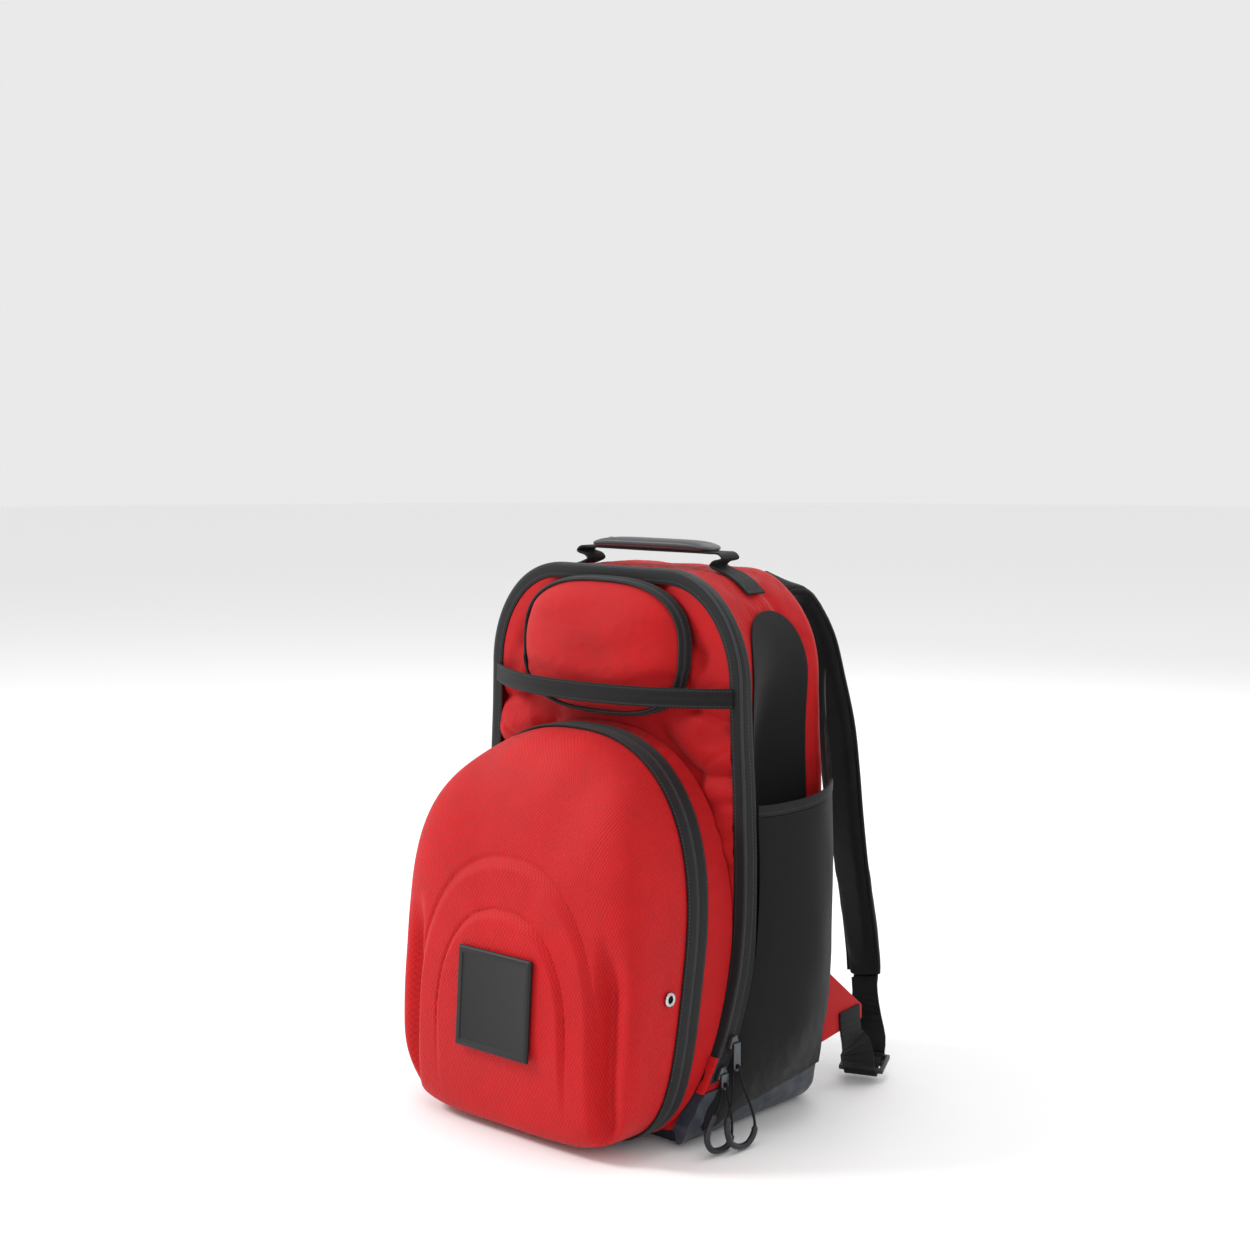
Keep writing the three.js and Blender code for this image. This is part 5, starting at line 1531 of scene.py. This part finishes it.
@dataclass
class UpperPocket:
    """Soft pocket at the top of the front panel, its zip, and the webbing for a helmet over it."""

    half_width: float = 99.0
    middle: float = 434.0
    half_height: float = 61.0
    depth: float = 30.0
    seat: float = 1.75
    strap_width: float = 18.0
    strap_thickness: float = 2.2
    strap_height: float = 396.0
    strap_bow: float = 46.0
    strap_end: float = 66.1

    def build(self) -> None:
        """Makes and dresses the pocket's pieces."""
        dress(self._pocket(), "fabric", "fabric", "upper_pocket")
        dress(self._zip(), "small_tape", "webbing", "upper_pocket_zip")
        dress(self._strap(), "strap", "webbing", "helmet_strap")

    @cached_property
    def _rim(self) -> Array:
        """Rows of x, z and outward direction round the pocket's rim."""
        heights = (self.half_height, self.half_height)
        return closed_rim(self.half_width, self.middle, heights, (2.6, 3.0), (2401, 800, 6))

    def rim(self, t: Array, grow: Array | float) -> tuple[Array, Array]:
        """Follows the pocket's rim, moved out by grow."""
        return follow(self._rim, t, grow)[:2]

    def face(self, px: Array, pz: Array, angle: Array) -> tuple[Array, Array, Array, Array]:
        """Gives x, y, z and how far forward, for a rim place and an angle over the shoulder."""
        spread = np.maximum(np.cos(angle), 0) ** 0.8
        forward = np.maximum(np.sin(angle), 0) ** 0.9
        sewn = BODY.panel(px, pz, folded=False) - np.maximum(0, BODY.folds(px, pz)) - self.seat
        y = lerp(sewn, -BODY.front - 9.0 - self.depth, forward)
        return px * spread, y, self.middle + (pz - self.middle) * spread, forward

    def _pocket(self) -> bpy.types.Object:
        """The bulging cloth with soft folds from its corners."""
        def place(u: Array, v: Array) -> Array:
            """Goes over the shoulder to the middle of the face."""
            px, pz = self.rim(u, 0.0)
            x, y, z, forward = self.face(px, pz, v * math.pi / 2)
            points = stack(x, y, z)
            loose = smooth(forward, 0.15, 0.5)
            fold = 2.6 * np.exp(-(((z - 402 - 0.10 * np.abs(x)) / 7) ** 2)) * smooth(np.abs(x), 20, 90)
            soft = 1.3 * (ripple(points * [0.7, 1, 1.4], 58, 4.2) - 0.4)
            fine = 0.3 * np.abs(ripple(points * [0.8, 1, 1.5], 26, 8.8)) ** 1.3
            return stack(x, y + loose * (fold - soft + fine), z)

        return lay("soft_pocket", 300, 90, place, core=(0, -70, 434))

    def _zip(self) -> bpy.types.Object:
        """The tape band that lies on the pocket's shoulder."""
        def place(u: Array, v: Array) -> Array:
            """Goes round the closed section: outer side forward, front edge, inner side back."""
            stops = np.array([0, 0.235, 0.25, 0.265, 0.5, 0.53, 0.97, 1.0])
            share = np.interp(v, stops, [0, 0.095, 0.1, 0.105, 0.2, 0.2, 0, 0])
            lift = np.interp(v, stops, [2.8, 2.8, 2.3, 2.8, 2.8, 0.8, 0.8, 2.8])
            bulge = 0.45 * (crown(v, 0.0, 0.24, 0.6) + crown(v, 0.26, 0.24, 0.6))
            px, pz = self.rim(u, lift + bulge)
            x, y, z, forward = self.face(px, pz, share * math.pi / 2)
            return stack(x, y - lift * forward, z)

        return lay("soft_pocket_zip", 380, 36, place, core=(0, -70, 434))

    def _strap(self) -> bpy.types.Object:
        """Webbing from zip to zip across the front."""
        half = float(BODY.side(self.strap_height)) - 6.6
        share = np.linspace(-1, 1, 181)
        y = -self.strap_end - self.strap_bow * (1 - np.abs(share) ** 2.4)
        centres = stack(share * half, y, np.full(181, self.strap_height) - 1.2 * (1 - share**2))
        roll = 0.06 * np.sin(share * 4)
        across = stack(0 * share, roll, np.cos(roll))
        return ribbon("front_band", centres, across, self.strap_width, self.strap_thickness)


# Sleeves that hold a bat


@dataclass
class BatSleeves:
    """Stretch pocket on each side, with a bound mouth."""

    reach: float = 27.0
    mouth_front: float = 299.0
    mouth_rear: float = 318.0
    rear_rise: float = 105.0
    bottom_front: float = 14.0
    bottom_rear: float = 38.0
    thickness: float = 2.5
    binding: float = 11.0
    binding_thickness: float = 3.6
    binding_end: float = 10 / 12

    def build(self) -> None:
        """Makes one side and mirrors it."""
        dress_pair(self._sleeve(), "stretch", "stretch", "bat_sleeve")
        dress_pair(self._binding(), "binding", "webbing", "sleeve_binding")

    def surface(self, u: Array, z: Array, lift: Array | float) -> Array:
        """Places on the right sleeve, for a share back along it and a height."""
        side = lerp(18.0, 10.0, smooth(z, 230, 504))
        y = lerp(BODY.front_line(z) + side + 2.5, BODY.back - BODY.back_radius * 0.35, u)
        bottom = lerp(self.bottom_front, self.bottom_rear, u**0.8)
        up = np.clip((z - bottom) / (self.mouth_front - bottom), 0, 1)
        fill = np.maximum(0, np.sin(np.minimum(1, up * 3.2) * math.pi / 2)) ** 0.8
        belly = np.maximum(0, np.sin(math.pi * np.clip(u, 0, 1))) ** 0.85
        above = 1 - smooth(z, self.mouth_rear, self.mouth_rear + self.rear_rise)
        skin = BODY.side(z) + 0.4 + 2.5 + 0.8 + lift
        tuck = BODY.back_radius * 0.12 * smooth(u, 0.9, 1)
        edge = 1 - smooth(u, 0.0, 0.06)
        return stack(skin - tuck - 3.2 * edge + self.reach * belly * fill * above, y - 3.0 * edge, z)

    def _sleeve(self) -> bpy.types.Object:
        """The stretch cloth, drawn smooth over its fill and creased at its foot."""
        def place(u: Array, v: Array) -> Array:
            """Goes back along the sleeve and up to the binding."""
            top = lerp(self.mouth_front, self.mouth_rear, u) + self.rear_rise * smooth(u, self.binding_end, 1)
            z = lerp(lerp(self.bottom_front, self.bottom_rear, u**0.8), top - self.binding, v)
            points = self.surface(u, z, self.thickness)
            inner = np.sin(math.pi * u) ** 0.5
            soft = 0.9 * (ripple(points * [1, 1, 0.7], 80, 5.0) - 0.6)
            foot = 1.4 * np.abs(ripple(points * [1, 0.8, 1.8], 34, 9.1)) * (1 - smooth(v, 0.08, 0.4))
            points[:, 0] += inner * (soft - foot) - 0.5
            return points

        return rounded(lay("stretch_sleeve_right", 110, 170, place, core=(0, 0, 150), wall=2.0), 0.7)

    def _binding(self) -> bpy.types.Object:
        """Folded tape over the mouth, fuller at its edges."""
        def place(u: Array, v: Array) -> Array:
            """Goes along the mouth and up across the tape."""
            share = u * self.binding_end * 0.985
            top = lerp(self.mouth_front, self.mouth_rear, share)
            z = lerp(top - self.binding + 0.8, top, v)
            roll = 0.45 * np.sin(math.pi * v) ** 0.4 - 0.55 * np.exp(-(((v - 0.26) / 0.05) ** 2))
            lift = (self.thickness - self.binding_thickness) / 2 + self.binding_thickness - 0.5
            return self.surface(share, z, lift + roll)

        return rounded(lay("mouth_binding_right", 120, 14, place, core=(0, 0, 150), wall=3.0), 1.0, 3)


# Handle


@dataclass
class GrabHandle:
    """Webbing that stands up from the shoulders, with a lens-shaped grip."""

    height: float = 529.5
    grip_length: float = 148.0
    grip_width: float = 30.0
    grip_thickness: float = 9.0
    web_width: float = 25.0
    web_thickness: float = 2.0
    reach: float = 91.0
    foot: float = 77.0
    tail: float = 122.0

    def build(self) -> None:
        """Makes the webbing, the grip and its lining."""
        dress(self._webbing(), "webbing", "webbing", "handle_webbing")
        dress(self._grip("grip_pad", 1.0, 0.0, 1.0), "grip", "grip", "handle_grip")
        dress(self._grip("grip_lining", 0.965, -0.35, 0.42), "lining", "grip")
        dress(self._dot(), "eyelet", "metal")

    def _top(self, x: float) -> float:
        """Height of the shoulder."""
        flat = float(BODY.side(BODY.height)) - BODY.shoulder_width
        past = min(max((abs(x) - flat) / BODY.shoulder_width, 0.0), 1.0)
        return BODY.height - BODY.shoulder_height * (1 - math.sqrt(1 - past * past))

    def _webbing(self) -> bpy.types.Object:
        """One length of webbing, sewn down at both ends."""
        under = self.height - self.grip_thickness - BODY.fit - self.web_thickness / 2
        lift = self.web_thickness / 2 + BODY.fit + 0.4
        side = [(self.tail, 0, self._top(self.tail) + lift)]
        for share in (0.72, 0.42, 0.16):
            x = lerp(self.foot, self.tail, share)
            side.append((x, 0, self._top(x) + lift))
        base = self._top(self.foot)
        side += [
            (self.foot, 0, base + lift + 2.4),
            (self.foot + 3.5, 0, base + lift + 6),
            (self.reach - 3, 0, lerp(base, under, 0.62)),
            (self.reach, 0, under - 4.5),
            (self.reach - 4, 0, under - 0.6),
            (self.grip_length / 2, 0, under),
        ]
        route = Route([*[(-x, y, z) for x, y, z in side], (0, 0, under), *side[::-1]])
        centres = route.at(np.linspace(0, 1, 260))
        across = np.broadcast_to([0.0, 1.0, 0.0], centres.shape)
        return ribbon("grab_webbing", centres, across, self.web_width, self.web_thickness)

    def _grip(self, name: str, size: float, drop: float, full: float) -> bpy.types.Object:
        """A rounded pad, thick at its middle and drawn in at its ends."""
        def place(u: Array, v: Array) -> Array:
            """Goes along the pad and round its section."""
            share = 2 * u - 1
            end = np.sqrt(np.maximum(0, 1 - np.abs(share) ** 9))
            swell = (0.55 + 0.45 * np.sqrt(np.maximum(0, 1 - share**4))) * end
            angle = v * 2 * math.pi
            c, s = np.cos(angle), np.sin(angle)
            half_w = self.grip_width / 2 * (0.8 + 0.2 * swell) * np.minimum(1, end * 1.4) * size
            half_t = self.grip_thickness * swell / 2 * full
            y = half_w * np.sign(c) * np.abs(c) ** 0.62
            z = half_t * np.sign(s) * np.abs(s) ** 0.75
            base = self.height - self.grip_thickness + drop + self.grip_thickness * swell / 2 * full
            return stack(share * self.grip_length / 2 * size, y, base + z)

        return lay(name, 160, 40, place, core=(0, 0, self.height - 4), close=True)

    def _dot(self) -> bpy.types.Object:
        """A small round stud near the grip's end."""
        def place(u: Array, v: Array) -> Array:
            """Goes out from the stud's middle and down its edge."""
            radius = 2.2 * np.minimum(1, v * 1.6)
            rise = 0.9 * np.sqrt(np.maximum(0, 1 - (v / 1.02) ** 3))
            around = u * 2 * math.pi
            return stack(radius * np.cos(around) - 52, radius * np.sin(around) - 6, self.height - 0.9 + rise)

        return lay("grip_stud", 24, 10, place, core=(-52, -6, self.height - 3))


# Back and harness


@dataclass
class BackHarness:
    """Padded back, shoulder straps, their buckles and webbing, and the cloth wings that hold them."""

    strap_width: float = 58.0

    def build(self) -> None:
        """Makes and dresses the pieces of the back."""
        pad = from_solid("back_padding", "back_pad")
        soften(pad, 5.0, 1.2, 4.0)
        map_flat(pad, 0, 2)
        dress(pad, "mesh", "mesh", "back_pad")
        dress(self._yoke(), "strap_cloth", "mesh")
        strap = from_solid("shoulder_pad_right", "shoulder_strap_right")
        soften(strap, 4.0, 0.3, 1.6)
        map_flat(strap, 0, 2)
        other = mirrored(strap, "shoulder_pad_left")
        seams = self._seams()
        copies = mirrored(seams, "strap_piping_left")
        for side, piece, seam in (("right", strap, seams), ("left", other, copies)):
            dress(piece, "strap_cloth", "mesh", f"shoulder_strap_{side}")
            dress(seam, "piping", "webbing")
            dress(worn(f"lock_{side}", f"ladder_lock_{side}", 0.9), "plastic", "plastic", f"ladder_lock_{side}")
            lower = worn(f"lower_webbing_{side}", f"pad_webbing_{side}", 0.5)
            webbing = join([lower, self._sewn_end(SIDES[side])], f"lower_webbing_{side}")
            dress(webbing, "webbing", "webbing", f"pad_webbing_{side}")
            dress(worn(f"holding_webbing_{side}", f"anchor_webbing_{side}", 0.5, 1, 2), "webbing", "webbing",
                  f"anchor_webbing_{side}")
            dress(worn(f"cloth_wing_{side}", f"strap_anchor_{side}", 1.0, 1, 2), "fabric", "fabric",
                  f"strap_anchor_{side}")

    def _yoke(self) -> bpy.types.Object:
        """Padded band across the top of the back, sewn over the roots of both straps."""
        def place(u: Array, v: Array) -> Array:
            """Goes across the band and up over its soft swell."""
            s, t = 2 * u - 1, 2 * v - 1
            x = 112 * s
            z = 463 + 13.5 * t - 3.5 * s * s
            rim = np.maximum(0, 1 - np.abs(t) ** 5) ** 0.5 * np.maximum(0, 1 - np.abs(s) ** 16) ** 0.5
            over = 7.5 * np.exp(-(((np.abs(x) - 68) / 30) ** 6))
            y = BODY.back - 0.5 + rim * (4.0 + over) * (1 - 0.10 * np.cos(9 * t))
            return stack(x, y, z)

        return lay("strap_yoke", 150, 34, place, core=(0, 55, 463))

    def _sewn_end(self, sign: float) -> bpy.types.Object:
        """Webbing that runs up behind the narrow end of a pad, where it is sewn on."""
        route = Route([(sign * 121.5, 178.6, 118), (sign * 124, 177, 104), (sign * 126.5, 173.5, 92),
                       (sign * 127.2, 170.6, 84), (sign * 127.6, 169.6, 77)])
        centres = route.at(np.linspace(0, 1, 30))
        across = unit(np.broadcast_to([1.0, sign * -0.12, 0.0], centres.shape))
        return ribbon("sewn_end", centres, across, 31.0, 2.0)

    def _seams(self) -> bpy.types.Object:
        """Bound edges along both sides of the right strap."""
        rows = np.array(STRAP_ROWS, float)
        centre = Route(rows[:, :3])
        shares = np.linspace(0.02, 0.985, 170)
        known = np.concatenate([[0], np.cumsum(np.linalg.norm(np.diff(rows[:, :3], axis=0), axis=1))])
        known /= known[-1]
        turn, dip, width = (np.interp(shares, known, rows[:, k]) for k in (3, 4, 5))
        turn, dip = np.radians(turn), np.radians(dip)
        across = stack(np.cos(turn) * np.cos(dip), np.sin(turn) * np.cos(dip), -np.sin(dip))
        along = centre.along(shares)
        across = unit(across - along * (across * along).sum(1, keepdims=True))
        middle = centre.at(shares)
        reach = (self.strap_width * width / 2 - 1.7)[:, None]
        edges = [tube(f"edge_{k}", middle + way * across * reach, 1.7, 8) for k, way in enumerate((1, -1))]
        return join(edges, "strap_piping_right")


# Middle line, turn and dip in degrees, and share of the width, for the right shoulder strap.
STRAP_ROWS = (
    (68, 70.2, 465, 0, 0, 0.84), (71, 75.5, 477, 0, 14, 0.87), (76, 86, 484, 0, 17, 0.92),
    (82, 99, 479, 0, 14, 0.97), (88, 112, 461, -2, 8, 1), (93, 125, 436, -5, 4, 1), (98, 137, 394, -8, 2, 1),
    (103, 148, 348, -11, 0, 1), (106, 154, 303, -13, 0, 1), (108, 159, 260, -15, 0, 1), (110, 167, 214, -19, 0, 1),
    (113, 172, 178, -20, 0, 0.98), (117, 175, 142, -18, 0, 0.93), (122, 174, 112, -14, 0, 0.84),
    (126, 171, 92, -6, 0, 0.72),
)


def main() -> None:
    """Builds the scene, and logs the faces of each dressed piece."""
    logging.basicConfig(level=logging.INFO, format="%(name)s: %(message)s")
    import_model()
    Studio().build()
    pulls = ZipPulls()
    pulls.cords()
    assemblies = (pulls, MainBody(), MouldedPocket(), UpperPocket(), BatSleeves(), GrabHandle(), BackHarness())
    for assembly in assemblies:
        LOG.info("Building %s", type(assembly).__name__)
        assembly.build()


if __name__ == "__main__":
    main()
